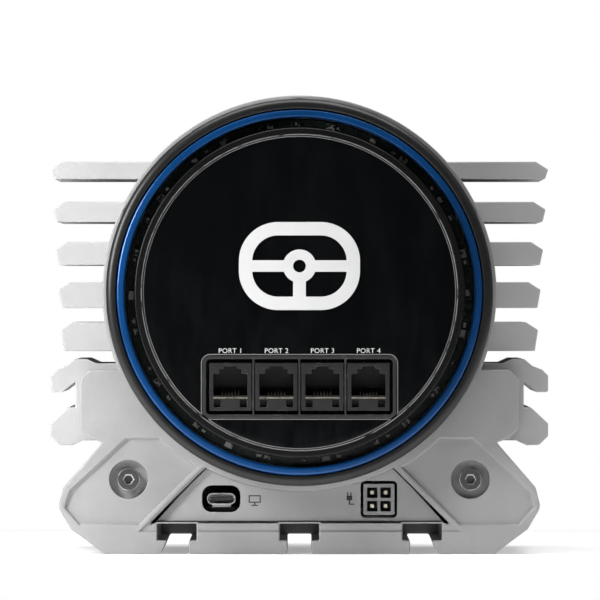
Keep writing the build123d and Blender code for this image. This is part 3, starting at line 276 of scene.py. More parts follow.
def drawn_effect():
    """Extruded metal: fine die lines along the housing with a few deeper ones."""
    tree, given, out = new_group("Die Lines", {"Pitch": 0.0003}, PATTERN_OUTPUTS)
    point = object_point(tree)
    rate = calc(tree, "DIVIDE", 1.0, given.outputs["Pitch"])
    lines = noise(tree, stretched(tree, point, (1.0, 0.012, 1.0)), rate, 3.0, 0.6)
    deep = spread(tree, noise(tree, stretched(tree, point, (1.0, 0.004, 1.0)), 620.0, 1.0), 0.62, 0.72)
    grain = noise(tree, point, 2600.0, 3.0, 0.7)
    height = calc(tree, "MULTIPLY_ADD", deep, -0.35, calc(tree, "MULTIPLY_ADD", grain, 0.5, lines))
    cloud = noise(tree, point, 28.0, 3.0)
    tone = calc(tree, "MULTIPLY_ADD", lines, 0.4, calc(tree, "MULTIPLY", cloud, 0.6))
    return close_group(tree, out, Height=height, Tone=spread(tree, tone, 0.3, 0.7), Gloss=lines)


def turned_effect():
    """Turned metal: fine tool rings round the motor axis."""
    tree, given, out = new_group("Tool Rings", {"Pitch": 0.00035}, PATTERN_OUTPUTS)
    radius, along = axis_distance(tree)
    travel = calc(tree, "ADD", radius, along)
    turns = calc(tree, "DIVIDE", travel, given.outputs["Pitch"])
    rings = calc(tree, "SINE", calc(tree, "MULTIPLY", turns, 2 * math.pi))
    wander = noise(tree, object_point(tree), 900.0, 3.0)
    height = calc(tree, "MULTIPLY_ADD", rings, 0.25, wander)
    ring_noise = noise(tree, add_node(tree, "ShaderNodeCombineXYZ", {0: travel}).outputs[0], 2200.0, 2.0)
    cloud = noise(tree, object_point(tree), 45.0, 3.0)
    tone = calc(tree, "MULTIPLY_ADD", ring_noise, 0.5, calc(tree, "MULTIPLY", cloud, 0.5))
    return close_group(tree, out, Height=height, Tone=spread(tree, tone, 0.3, 0.7), Gloss=ring_noise)


def moulded_effect():
    """Moulded plastic: spark-eroded texture of small rounded pits."""
    tree, given, out = new_group("Moulded Grain", {"Pitch": 0.0005}, PATTERN_OUTPUTS)
    point = object_point(tree)
    rate = calc(tree, "DIVIDE", 1.0, given.outputs["Pitch"])
    cells = add_node(tree, "ShaderNodeTexVoronoi", {"Vector": point, "Scale": rate}, feature="SMOOTH_F1")
    pits = cells.outputs[0]
    grain = noise(tree, point, 5200.0, 3.0, 0.65)
    cloud = noise(tree, point, 60.0, 3.0)
    height = calc(tree, "MULTIPLY_ADD", grain, 0.45, pits)
    gloss = calc(tree, "MULTIPLY_ADD", pits, 0.5, grain)
    return close_group(tree, out, Height=height, Tone=cloud, Gloss=gloss)


def brushed_effect():
    """Brushed or ground metal: short scratches across the surface."""
    tree, given, out = new_group("Brushed Metal", {"Pitch": 0.0002}, PATTERN_OUTPUTS)
    point = object_point(tree)
    rate = calc(tree, "DIVIDE", 1.0, given.outputs["Pitch"])
    lines = noise(tree, stretched(tree, point, (0.05, 1.0, 1.0)), rate, 3.0, 0.6)
    stain = noise(tree, point, 220.0, 3.0)
    tone = calc(tree, "MULTIPLY_ADD", stain, 0.6, lines)
    return close_group(tree, out, Height=lines, Tone=tone, Gloss=lines)


def laminated_effect():
    """Stack of thin sheets across the motor axis."""
    tree, given, out = new_group("Laminations", {"Pitch": 0.0005}, PATTERN_OUTPUTS)
    _, along = axis_distance(tree)
    phase = calc(tree, "MULTIPLY", calc(tree, "DIVIDE", along, given.outputs["Pitch"]), 2 * math.pi)
    sheets = calc(tree, "SINE", phase)
    rust = noise(tree, object_point(tree), 400.0, 4.0)
    tone = calc(tree, "MULTIPLY_ADD", sheets, 0.2, rust)
    return close_group(tree, out, Height=sheets, Tone=tone, Gloss=rust)


def wound_effect():
    """Layers of enamelled wire, side by side away from the motor axis."""
    tree, given, out = new_group("Windings", {"Pitch": 0.001}, PATTERN_OUTPUTS)
    radius, _ = axis_distance(tree)
    phase = calc(tree, "MULTIPLY", calc(tree, "DIVIDE", radius, given.outputs["Pitch"]), 2 * math.pi)
    wires = calc(tree, "ABSOLUTE", calc(tree, "SINE", calc(tree, "MULTIPLY", phase, 0.5)))
    tone = noise(tree, object_point(tree), 300.0, 2.0)
    return close_group(tree, out, Height=wires, Tone=calc(tree, "MULTIPLY", wires, tone), Gloss=tone)


def board_effect():
    """Circuit board: copper tracks and pads seen through the solder mask."""
    tree, given, out = new_group("Board Tracks", {"Pitch": 0.0016}, PATTERN_OUTPUTS)
    point = object_point(tree)
    rate = calc(tree, "DIVIDE", 1.0, given.outputs["Pitch"])
    cells = add_node(tree, "ShaderNodeTexVoronoi", {"Vector": point, "Scale": rate}, distance="CHEBYCHEV")
    tracks = spread(tree, cells.outputs["Distance"], 0.32, 0.38)
    vias = add_node(tree, "ShaderNodeTexVoronoi", {"Vector": point, "Scale": 420.0}).outputs["Distance"]
    pads = spread(tree, vias, 0.16, 0.12)
    height = calc(tree, "ADD", tracks, pads)
    return close_group(tree, out, Height=height, Tone=calc(tree, "MAXIMUM", tracks, pads), Gloss=pads)


def smooth_effect():
    """Near-smooth lacquer or sleeve: slow ripple, faint hairlines and smears."""
    tree, given, out = new_group("Lacquer", {"Pitch": 0.004}, PATTERN_OUTPUTS)
    point = object_point(tree)
    rate = calc(tree, "DIVIDE", 1.0, given.outputs["Pitch"])
    ripple = noise(tree, point, rate, 2.0)
    smear = noise(tree, stretched(tree, point, (1.0, 1.0, 0.35)), 90.0, 4.0, 0.7)
    grain = noise(tree, point, 6500.0, 2.0)
    height = calc(tree, "MULTIPLY_ADD", grain, 0.12, ripple)
    return close_group(tree, out, Height=height, Tone=smear, Gloss=spread(tree, smear, 0.35, 0.7))


def edge_wear_and_highlight_effect():
    """Broken bright line along rounded edges: edge wear on most finishes, a painted highlight on the face
    plate, the rear cover's rim and the jack frame.
    """
    tree, given, out = new_group("Edge Wear And Highlight", {"Amount": 0.5}, ("Mask",))
    marked = add_node(tree, "ShaderNodeAttribute", attribute_name="edge", attribute_type="GEOMETRY")
    edge = marked.outputs["Fac"]
    breaks = noise(tree, object_point(tree), 260.0, 4.0, 0.7)
    threshold = calc(tree, "SUBTRACT", 0.78, calc(tree, "MULTIPLY", given.outputs["Amount"], 0.5))
    worn_and_highlight = calc(tree, "MULTIPLY", calc(tree, "SUBTRACT", breaks, threshold), 7.0)
    mask = add_node(tree, "ShaderNodeClamp", {0: calc(tree, "MULTIPLY", worn_and_highlight, edge)}).outputs[0]
    return close_group(tree, out, Mask=mask)


def dust_effect():
    """Thin dust that lies on surfaces facing up and in soft patches."""
    tree, given, out = new_group("Settled Dust", {"Amount": 0.3}, ("Mask",))
    normal = add_node(tree, "ShaderNodeNewGeometry").outputs["Normal"]
    up = add_node(tree, "ShaderNodeSeparateXYZ", {0: normal}).outputs["Z"]
    facing = spread(tree, up, 0.1, 1.0, 0.12, 1.0)
    patches = spread(tree, noise(tree, object_point(tree), 130.0, 5.0, 0.7), 0.4, 0.75)
    mask = calc(tree, "MULTIPLY", calc(tree, "MULTIPLY", facing, patches), given.outputs["Amount"])
    return close_group(tree, out, Mask=mask)


DUST_GREY = grey(190)
effects = {}
finishes = {}


def make_effects():
    """Build each effect group once."""
    makers = {
        "blasted": blasted_effect, "drawn": drawn_effect, "turned": turned_effect,
        "moulded": moulded_effect, "brushed": brushed_effect, "laminated": laminated_effect,
        "wound": wound_effect, "board": board_effect, "smooth": smooth_effect,
        "wear_and_highlight": edge_wear_and_highlight_effect, "dust": dust_effect,
    }
    for name, maker in makers.items():
        effects[name] = maker()


def place_effect(tree, name, **inputs):
    """Put an effect group in a material with its own values."""
    node = add_node(tree, "ShaderNodeGroup", node_tree=effects[name])
    for label, value in inputs.items():
        node.inputs[label].default_value = value
    return node.outputs


def blend_colour(tree, share, first, second):
    """Mix of two colours; each is a colour or a socket."""
    node = add_node(tree, "ShaderNodeMix", data_type="RGBA")
    for index, value in ((0, share), (6, first), (7, second)):
        if isinstance(value, bpy.types.NodeSocket):
            tree.links.new(value, node.inputs[index])
        else:
            node.inputs[index].default_value = value if index == 0 else (*value, 1.0)
    return node.outputs[2]


def make_finish(name, tone, second, pattern, pitch, bump, roughness, metallic=0.0, wear_and_highlight=0.0, worn_and_highlight=None,
                dust=0.0, coat=0.0, specular=0.5):
    """One material: two tones mixed by the pattern, worn edges (on some finishes a painted highlight line
    instead), dust, uneven gloss and bump.
    """
    material = bpy.data.materials.new(f"finish_{name}")
    material.use_nodes = True
    tree = material.node_tree
    shader = tree.nodes["Principled BSDF"]
    pattern_out = place_effect(tree, pattern, Pitch=pitch)
    colour = blend_colour(tree, pattern_out["Tone"], tone, second)
    rough = spread(tree, pattern_out["Gloss"], 0.25, 0.75, roughness[0], roughness[1])
    # Worn edges; on the face plate, the rear cover's rim and the jack frame this paints a highlight line.
    if wear_and_highlight:
        mask = place_effect(tree, "wear_and_highlight", Amount=wear_and_highlight)["Mask"]
        colour = blend_colour(tree, mask, colour, worn_and_highlight)
    if dust:
        mask = place_effect(tree, "dust", Amount=dust)["Mask"]
        colour = blend_colour(tree, mask, colour, DUST_GREY)
        rough = calc(tree, "MULTIPLY_ADD", mask, 0.35, rough)
    tree.links.new(colour, shader.inputs["Base Color"])
    tree.links.new(rough, shader.inputs["Roughness"])
    relief = add_node(tree, "ShaderNodeBump", {"Height": pattern_out["Height"], "Strength": 1.0,
                                               "Distance": bump})
    tree.links.new(relief.outputs[0], shader.inputs["Normal"])
    shader.inputs["Metallic"].default_value = metallic
    shader.inputs["Coat Weight"].default_value = coat
    shader.inputs["Specular IOR Level"].default_value = specular
    finishes[name] = material


def shade(colour, factor):
    """A colour made lighter or darker."""
    return tuple(min(1.0, part * factor) for part in colour)


def finish_table(colours):
    """Every slot's finish and the jack frame's own: tones, pattern, pitch, bump, roughness and extras."""
    bright = grey(235)
    fine = 0.01 * MM
    return {
        "housing_aluminium": dict(tone=shade(colours.housing, 0.86), second=shade(colours.housing, 1.1),
                                  pattern="drawn", pitch=0.3 * MM, bump=fine * 2, roughness=(0.42, 0.6),
                                  metallic=0.25, wear_and_highlight=0.18, worn_and_highlight=bright, dust=0.15),
        "frame_aluminium": dict(tone=shade(colours.casting, 0.84), second=shade(colours.casting, 1.12),
                                pattern="blasted", pitch=0.4 * MM, bump=fine * 2.5, roughness=(0.45, 0.65),
                                metallic=0.25, wear_and_highlight=0.2, worn_and_highlight=bright, dust=0.15),
        "panel_grey": dict(tone=shade(colours.panel, 0.86), second=shade(colours.panel, 1.1),
                           pattern="moulded", pitch=0.45 * MM, bump=fine * 2, roughness=(0.45, 0.65),
                           wear_and_highlight=0.3, worn_and_highlight=bright, dust=0.1),
        "bezel_black": dict(tone=shade(colours.bezel, 0.75), second=shade(colours.bezel, 1.25),
                            pattern="turned", pitch=0.3 * MM, bump=fine, roughness=(0.28, 0.42),
                            metallic=0.7, wear_and_highlight=0.55, worn_and_highlight=grey(150), dust=0.06),
        "accent_blue": dict(tone=shade(colours.blue, 0.8), second=shade(colours.blue, 1.2), pattern="turned",
                            pitch=0.25 * MM, bump=fine * 0.4, roughness=(0.22, 0.34), metallic=0.35,
                            coat=0.2),
        # The wear amount covers the whole rounded edge: a painted highlight line in grey(128) all round the
        # face plate.
        "face_black": dict(tone=shade(colours.plate, 0.8), second=shade(colours.plate, 1.3), pattern="smooth",
                           pitch=9 * MM, bump=fine * 0.3, roughness=(0.16, 0.26), wear_and_highlight=1.3, worn_and_highlight=grey(128),
                           dust=0.004, specular=0.22),
        # The high wear amount with grey(112) paints a highlight line along the rim's inner bevel.
        "cover_plastic": dict(tone=shade(colours.moulding, 0.4), second=shade(colours.moulding, 0.7),
                              pattern="moulded", pitch=0.4 * MM, bump=fine * 0.7, roughness=(0.2, 0.3),
                              wear_and_highlight=0.9, worn_and_highlight=grey(112), dust=0.005, specular=0.22),
        # The wear with grey(84) paints a broken highlight along the jack frame's rounded edges.
        "frame_line": dict(tone=grey(26), second=grey(38), pattern="moulded", pitch=0.3 * MM, bump=fine * 0.6,
                           roughness=(0.28, 0.42), wear_and_highlight=0.5, worn_and_highlight=grey(84), dust=0.01),
        "emblem_silver": dict(tone=shade(colours.emblem, 0.92), second=shade(colours.emblem, 1.05),
                              pattern="moulded", pitch=0.3 * MM, bump=fine * 0.5, roughness=(0.45, 0.6),
                              wear_and_highlight=0.4, worn_and_highlight=bright),
        "jack_plastic": dict(tone=shade(colours.moulding, 0.55), second=shade(colours.moulding, 0.9),
                             pattern="moulded", pitch=0.35 * MM, bump=fine, roughness=(0.3, 0.48), wear_and_highlight=0.5,
                             worn_and_highlight=grey(80), dust=0.03),
        "connector_black": dict(tone=grey(24), second=grey(34), pattern="moulded", pitch=0.35 * MM, bump=fine,
                                roughness=(0.35, 0.5), wear_and_highlight=0.4, worn_and_highlight=grey(70)),
        "inlet_nylon": dict(tone=grey(120), second=grey(140), pattern="moulded", pitch=0.35 * MM, bump=fine,
                            roughness=(0.35, 0.5), wear_and_highlight=0.4, worn_and_highlight=grey(190)),
        "contact_metal": dict(tone=(0.55, 0.50, 0.42), second=(0.78, 0.72, 0.60), pattern="brushed",
                              pitch=0.12 * MM, bump=fine * 0.4, roughness=(0.2, 0.35), metallic=1.0),
        "screw_steel": dict(tone=grey(70), second=grey(104), pattern="turned", pitch=0.2 * MM, bump=fine,
                            roughness=(0.28, 0.45), metallic=0.9, wear_and_highlight=0.8, worn_and_highlight=grey(200)),
        "port_steel": dict(tone=grey(150), second=grey(196), pattern="brushed", pitch=0.2 * MM,
                           bump=fine * 0.5, roughness=(0.22, 0.38), metallic=1.0),
        "board_green": dict(tone=colours.board, second=shade(colours.board, 2.6), pattern="board",
                            pitch=1.6 * MM, bump=fine * 3, roughness=(0.25, 0.4), coat=0.3),
        "component_mix": dict(tone=grey(34), second=grey(150, 0.06), pattern="board", pitch=1.3 * MM,
                              bump=fine, roughness=(0.3, 0.5)),
        "nylon_white": dict(tone=grey(214, 0.02), second=grey(228, 0.03), pattern="moulded", pitch=0.4 * MM,
                            bump=fine, roughness=(0.4, 0.55)),
        "capacitor_sleeve": dict(tone=(0.004, 0.005, 0.014), second=(0.01, 0.012, 0.03), pattern="smooth",
                                 pitch=2 * MM, bump=fine * 2, roughness=(0.2, 0.32), coat=0.4),
        "lead_rubber": dict(tone=(0.20, 0.012, 0.010), second=(0.32, 0.02, 0.016), pattern="moulded",
                            pitch=0.5 * MM, bump=fine, roughness=(0.4, 0.55)),
        "ribbon_grey": dict(tone=grey(120), second=grey(176), pattern="brushed", pitch=1.2 * MM,
                            bump=fine * 6, roughness=(0.4, 0.55)),
        "lamination_steel": dict(tone=grey(92), second=grey(140), pattern="laminated", pitch=0.5 * MM,
                                 bump=fine * 4, roughness=(0.3, 0.5), metallic=0.9),
        "winding_copper": dict(tone=(0.20, 0.055, 0.016), second=(0.70, 0.26, 0.09), pattern="wound",
                               pitch=1 * MM, bump=fine * 25, roughness=(0.2, 0.32), metallic=0.85, coat=0.4),
        "magnet_nickel": dict(tone=grey(150), second=grey(196), pattern="brushed", pitch=0.3 * MM,
                              bump=fine * 0.5, roughness=(0.15, 0.28), metallic=1.0),
        "shaft_steel": dict(tone=grey(148), second=grey(190), pattern="turned", pitch=0.25 * MM, bump=fine,
                            roughness=(0.18, 0.32), metallic=1.0),
        "bearing_steel": dict(tone=grey(170), second=grey(206), pattern="turned", pitch=0.2 * MM,
                              bump=fine * 0.5, roughness=(0.1, 0.2), metallic=1.0),
        "ball_chrome": dict(tone=grey(200), second=grey(222), pattern="smooth", pitch=3 * MM, bump=fine * 0.2,
                            roughness=(0.04, 0.1), metallic=1.0),
        "cage_brass": dict(tone=(0.42, 0.26, 0.07), second=(0.66, 0.46, 0.16), pattern="brushed",
                           pitch=0.25 * MM, bump=fine * 0.5, roughness=(0.22, 0.36), metallic=1.0),
        "spring_steel": dict(tone=grey(96), second=grey(130), pattern="brushed", pitch=0.25 * MM, bump=fine,
                             roughness=(0.22, 0.38), metallic=1.0),
        "front_black": dict(tone=grey(30), second=grey(42), pattern="moulded", pitch=0.5 * MM,
                            bump=fine * 1.5, roughness=(0.36, 0.55), wear_and_highlight=0.55, worn_and_highlight=grey(92), dust=0.08),
        "button_black": dict(tone=grey(34), second=grey(46), pattern="turned", pitch=0.3 * MM, bump=fine,
                             roughness=(0.25, 0.36), wear_and_highlight=0.6, worn_and_highlight=grey(120), coat=0.2),
        "hub_aluminium": dict(tone=grey(150), second=grey(188), pattern="turned", pitch=0.4 * MM,
                              bump=fine * 0.7, roughness=(0.28, 0.42), metallic=0.85, wear_and_highlight=0.3,
                              worn_and_highlight=grey(205)),
        "collar_black": dict(tone=grey(38), second=grey(54), pattern="turned", pitch=0.3 * MM, bump=fine,
                             roughness=(0.28, 0.42), metallic=0.7, wear_and_highlight=0.7, worn_and_highlight=grey(150)),
    }


# ---- mesh helpers
def settle(bm, name, nodes=(), node_like=None, slot=None, smooth=SMOOTH_ANGLE, finish=None):
    """Turn a bmesh into a finished piece that rides on its body and stands for its CAD nodes.

    A piece that stands for no node takes its body, and its slot if none is given, from node_like.
    """
    source = node_like or nodes[0]
    mesh = bpy.data.meshes.new(name)
    bm.to_mesh(mesh)
    bm.free()
    mesh.shade_smooth()
    mesh.set_sharp_from_angle(angle=smooth)
    piece = bpy.data.objects.new(name, mesh)
    bpy.context.scene.collection.objects.link(piece)
    slot = slot or node_slot[source]
    mesh.materials.append(finishes[finish or slot])
    weighted = piece.modifiers.new("Even shading", "WEIGHTED_NORMAL")
    weighted.keep_sharp = True
    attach(piece, node_body[source])
    if nodes:
        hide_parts(*nodes)


def edge_layer(bm):
    """Face layer that marks rounded edges, for the edge wear and painted highlight effect."""
    return bm.faces.layers.float.get("edge") or bm.faces.layers.float.new("edge")


def round_edges(bm, edges, width):
    """Bevel the edges and mark the new faces as edge faces."""
    layer = edge_layer(bm)
    made = bmesh.ops.bevel(bm, geom=edges, offset=width, offset_type="OFFSET", segments=2, profile=0.5,
                           affect="EDGES", clamp_overlap=False, material=-1)
    for face in made["faces"]:
        face[layer] = 1.0


def flat_region(face):
    """Faces joined to a face in one plane."""
    region = {face}
    queue = [face]
    while queue:
        for edge in queue.pop().edges:
            for other in edge.link_faces:
                if other not in region and other.normal.dot(face.normal) > SAME_PLANE:
                    region.add(other)
                    queue.append(other)
    return region


def refill_folded(bm):
    """Fill flat regions again where rounding their edges has folded a face across a hole."""
    bm.normal_update()
    areas = {}
    for corners in bm.calc_loop_triangles():
        area = area_tri(*(corner.vert.co for corner in corners))
        areas[corners[0].face] = areas.get(corners[0].face, 0.0) + area
    folded = [face for face, area in areas.items()
              if len(face.verts) > 4 and area > face.calc_area() + FOLD_AREA]
    for face in folded:
        if face.is_valid:
            region = flat_region(face)
            normal = face.normal.copy()
            rim = [edge for part in region for edge in part.edges
                   if sum(neighbour in region for neighbour in edge.link_faces) == 1]
            bmesh.ops.delete(bm, geom=list(region), context="FACES")
            rim = [edge for edge in rim if edge.is_valid]
            bmesh.ops.triangle_fill(bm, use_beauty=True, use_dissolve=False, edges=rim, normal=normal)
    if folded:
        bmesh.ops.recalc_face_normals(bm, faces=bm.faces)


def crisp_edges(bm, angle):
    """Edges whose faces meet at more than an angle."""
    return [edge for edge in bm.edges if len(edge.link_faces) == 2 and edge.calc_face_angle() > angle]


def merged_copy(node):
    """Merged copy of a CAD node's mesh, with flat faces joined."""
    bm = bmesh.new()
    bm.from_mesh(frame["nodes"][node].data)
    bmesh.ops.remove_doubles(bm, verts=bm.verts, dist=MERGE_DISTANCE)
    bmesh.ops.dissolve_limit(bm, angle_limit=FLAT_ANGLE, verts=bm.verts, edges=bm.edges)
    return bm


def soften(node, width, angle=CRISP_ANGLE, smooth=SMOOTH_ANGLE, finish=None):
    """Make a piece that copies a CAD node and rounds its crisp edges."""
    bm = merged_copy(node)
    edge_layer(bm)
    round_edges(bm, crisp_edges(bm, angle), width)
    refill_folded(bm)
    settle(bm, f"{node}_body", (node,), smooth=smooth, finish=finish)


def add_ring(bm, outline, steps, bevels=()):
    """Spin a closed (radius, y) outline about the motor axis; bevels lists (corner, width, segments)."""
    start = len(bm.verts)
    corners = [bm.verts.new((radius, y, axis_z)) for radius, y in outline]
    bm.faces.new(corners)
    for index, width, segments in bevels:
        bmesh.ops.bevel(bm, geom=[corners[index]], offset=width, offset_type="OFFSET", segments=segments,
                        profile=0.5, affect="VERTICES", clamp_overlap=False, material=-1)
    bm.verts.ensure_lookup_table()
    verts = bm.verts[start:]
    faces = list({face for vert in verts for face in vert.link_faces})
    bmesh.ops.delete(bm, geom=faces, context="FACES_ONLY")
    edges = list({edge for vert in verts for edge in vert.link_edges})
    bmesh.ops.spin(bm, geom=verts + edges, cent=(0, 0, axis_z), axis=(0, 1, 0), dvec=(0, 0, 0),
                   angle=2 * math.pi, steps=steps, use_merge=True, use_normal_flip=False, use_duplicate=False)
    bmesh.ops.recalc_face_normals(bm, faces=bm.faces)


def to_rear(bm, verts, x, y, z):
    """Turn verts drawn in XY so that they face -Y, and put their origin at a point."""
    turn = Matrix.Translation((x, y, z)) @ Matrix.Rotation(math.pi / 2, 4, "X")
    bmesh.ops.transform(bm, matrix=turn, verts=verts)


def extents(node):
    """Low corner, high corner, middle and size of a CAD node."""
    low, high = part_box(node)
    return low, high, (low + high) / 2, high - low


# ---- housing and frames
class WHEELBASE_OT_housing(Operator):
    """Extruded housing and the two cast end frames, with rounded edges"""

    bl_idname = "wheel_base.housing"
    bl_label = "Housing and frames"

    def execute(self, context):
        shape = context.scene.wheel_base_shape
        soften("housing_extrusion", shape.extrusion_edge)
        soften("rear_end_frame", shape.casting_edge)
        soften("front_end_frame", shape.casting_edge)
        return {"FINISHED"}


class WHEELBASE_OT_rings(Operator):
    """Dark bevelled ring and the blue ring inside it"""

    bl_idname = "wheel_base.rings"
    bl_label = "Rear rings"

    def execute(self, context):
        shape = context.scene.wheel_base_shape
        low, high, _, _ = extents("rear_bezel_ring")
        accent_low, accent_high, _, _ = extents("blue_accent_ring")
        outer, rear, front = high.x, low.y, high.y
        inner = accent_high.x + shape.ring_fit
        ledge = front - shape.ledge
        ledge_inner = accent_high.x - shape.accent_width + shape.ledge_overlap
        bm = bmesh.new()
        add_ring(bm, [(outer, front), (outer, rear), (inner, rear), (inner, ledge), (ledge_inner, ledge),
                      (ledge_inner, front)], shape.ring_steps,
                 [(1, shape.bezel_bevel, 6), (2, shape.bezel_inner_bevel, 2)])
        settle(bm, "bezel_ring_body", ("rear_bezel_ring",))
        bm = bmesh.new()
        outer, inner = accent_high.x, accent_high.x - shape.accent_width
        rear, front = accent_low.y, accent_high.y
        add_ring(bm, [(outer, front), (outer, rear), (inner, rear), (inner, front)], shape.ring_steps,
                 [(1, shape.accent_rounding, 6), (2, shape.accent_rounding, 6)])
        settle(bm, "blue_ring_body", ("blue_accent_ring",))
        return {"FINISHED"}


# ---- rear cover
def windowed_disc(bm, radius, rear, front, window, corner, steps):
    """Disc on the motor axis with a rounded window; window is (x middle, z middle, width, height)."""
    x, z, width, height = window
    rim = bmesh.ops.create_circle(bm, segments=steps, radius=radius)["verts"]
    to_rear(bm, rim, 0, rear, axis_z)
    pane = bmesh.ops.create_grid(bm, x_segments=1, y_segments=1, size=0.5)["verts"]
    bmesh.ops.scale(bm, vec=(width, height, 1), verts=pane)
    to_rear(bm, pane, x, rear, z)
    rounded = bmesh.ops.bevel(bm, geom=pane, offset=corner, offset_type="OFFSET", segments=5, profile=0.5,
                              affect="VERTICES", clamp_overlap=False, material=-1)
    pane_faces = list({face for vert in rounded["verts"] for face in vert.link_faces})
    bmesh.ops.delete(bm, geom=pane_faces, context="FACES_ONLY")
    loops = [edge for edge in bm.edges
             if not edge.link_faces and abs(edge.verts[0].co.y - rear) < MERGE_DISTANCE]
    filled = bmesh.ops.triangle_fill(bm, use_beauty=True, use_dissolve=False, edges=loops)
    faces = [item for item in filled["geom"] if isinstance(item, bmesh.types.BMFace)]
    grown = bmesh.ops.extrude_face_region(bm, geom=faces, use_keep_orig=True)
    verts = [item for item in grown["geom"] if isinstance(item, bmesh.types.BMVert)]
    bmesh.ops.translate(bm, vec=(0, front - rear, 0), verts=verts)
    bmesh.ops.recalc_face_normals(bm, faces=bm.faces)


class WHEELBASE_OT_rear_cover(Operator):
    """Rear cover with its bevelled rim, and the flat face plate inset in it"""

    bl_idname = "wheel_base.rear_cover"
    bl_label = "Rear cover"

    def execute(self, context):
        shape = context.scene.wheel_base_shape
        low, high, _, _ = extents("rear_cover")
        plate_low, plate_high, _, _ = extents("cover_face_plate")
        _, _, jacks, size = extents("jack_frame")
        window = (jacks.x, jacks.z, size.x + shape.window_fit, size.z + shape.window_fit)
        outer, seat = high.x, plate_high.x + shape.plate_fit
        skirt = outer - shape.cover_wall
        floor = plate_high.y
        front = high.y - (high.y - low.y) / 4
        bm = bmesh.new()
        add_ring(bm, [(seat, floor), (seat, low.y), (outer, low.y), (outer, front), (skirt, front),
                      (skirt, floor)], shape.ring_steps,
                 [(1, shape.rim_inner_bevel, 2), (2, shape.rim_bevel, 4)])
        windowed_disc(bm, seat, floor, floor + shape.cover_wall, window, shape.window_corner,
                      shape.ring_steps)
        # Marks the rim's inner bevel as an edge, so the cover's finish paints a highlight line along it.
        layer = edge_layer(bm)
        for face in bm.faces:
            middle = face.calc_center_median()
            reach = math.hypot(middle.x, middle.z - axis_z)
            if seat < reach < seat + shape.rim_inner_bevel and middle.y < low.y + shape.rim_inner_bevel:
                face[layer] = 1.0
        settle(bm, "rear_cover_shell", ("rear_cover",))
        bm = bmesh.new()
        windowed_disc(bm, plate_high.x, plate_low.y, plate_high.y - shape.plate_gap, window,
                      shape.window_corner, shape.ring_steps)
        # The plate's rounded rear edge gets the face finish's painted highlight line.
        rims = [edge for edge in crisp_edges(bm, PLATE_ANGLE)
                if all(vert.co.y < plate_low.y + MERGE_DISTANCE for vert in edge.verts)]
        round_edges(bm, rims, shape.plate_edge)
        settle(bm, "face_plate", ("cover_face_plate",))
        soften("cover_emblem", shape.emblem_edge, TURNED_ANGLE)
        return {"FINISHED"}


def printed_text(text, size, x, y, z, name, thickness):
    """Flat printed text, facing the rear."""
    curve = bpy.data.curves.new(name, "FONT")
    curve.body = text
    curve.size = size
    curve.align_x = "CENTER"
    curve.align_y = "CENTER"
    curve.extrude = thickness / 2
    curve.space_character = TEXT_SPACING
    holder = bpy.data.objects.new(name + "_curve", curve)
    bpy.context.scene.collection.objects.link(holder)
    bpy.context.view_layer.update()
    mesh = bpy.data.meshes.new_from_object(holder.evaluated_get(bpy.context.evaluated_depsgraph_get()))
    bpy.data.objects.remove(holder)
    bm = bmesh.new()
    bm.from_mesh(mesh)
    bpy.data.meshes.remove(mesh)
    bmesh.ops.remove_doubles(bm, verts=bm.verts, dist=TEXT_MERGE)
    to_rear(bm, bm.verts, x, y, z)
    return bm


class WHEELBASE_OT_prints(Operator):
    """Printed jack numbers and the two port marks"""

    bl_idname = "wheel_base.prints"
    bl_label = "Printed marks"

    def execute(self, context):
        shape = context.scene.wheel_base_shape
        plate_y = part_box("cover_face_plate")[0].y - shape.print_thickness / 2
        label_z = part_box("jack_frame")[1].z + shape.label_rise
        jacks = sorted(node for node in frame["nodes"] if node.startswith("port_jack_"))
        for number, node in enumerate(jacks, 1):
            x = extents(node)[2].x
            bm = printed_text(f"PORT {number}", shape.label_height, x, plate_y, label_z, f"label_{number}",
                              shape.print_thickness)
            settle(bm, f"jack_label_{number}", node_like="cover_emblem")
        self.port_marks(shape)
        return {"FINISHED"}

    def port_marks(self, shape):
        """Plug mark beside the power inlet and screen mark beside the data port.

        Each bar is its place beside and above the mark's middle, its width and its height, in icon sizes.
        """
        panel_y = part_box("port_panel")[0].y - shape.print_thickness
        size = shape.icon_size
        inlet = extents("power_inlet")[2]
        data = extents("usb_port_shell")[2]
        parts = {
            "power_mark": (inlet.x - shape.power_mark_gap, inlet.z, [
                (0, 0.1, 0.42, 0.34), (-0.12, 0.4, 0.08, 0.26), (0.12, 0.4, 0.08, 0.26), (0, -0.22, 0.1, 0.3),
                (0.16, -0.36, 0.42, 0.08)]),
            "data_mark": (data.x + shape.data_mark_gap, data.z, [
                (0, 0.34, 0.9, 0.08), (0, -0.14, 0.9, 0.08), (-0.41, 0.1, 0.08, 0.56),
                (0.41, 0.1, 0.08, 0.56), (0, -0.26, 0.1, 0.16), (0, -0.38, 0.5, 0.08)]),
        }
        for name, (x, z, bars) in parts.items():
            bm = bmesh.new()
            for side, rise, width, height in bars:
                bar = bmesh.ops.create_cube(bm, size=1.0)["verts"]
                bmesh.ops.scale(bm, vec=(width * size, shape.print_thickness, height * size), verts=bar)
                place = (x + side * size, panel_y + shape.print_thickness / 2, z + rise * size)
                bmesh.ops.translate(bm, vec=place, verts=bar)
            settle(bm, name, node_like="port_panel", slot="jack_plastic")


# ---- jacks, ports, fasteners
class WHEELBASE_OT_jacks(Operator):
    """The four jacks and the frame round them"""

    bl_idname = "wheel_base.jacks"
    bl_label = "Jacks"

    def execute(self, context):
        shape = context.scene.wheel_base_shape
        for node in sorted(frame["nodes"]):
            if node.startswith("port_jack_"):
                soften(node, shape.moulding_edge)
        # The jack frame's own finish paints a broken highlight along its rounded edges.
        soften("jack_frame", shape.moulding_edge * 1.6, finish="frame_line")
        return {"FINISHED"}


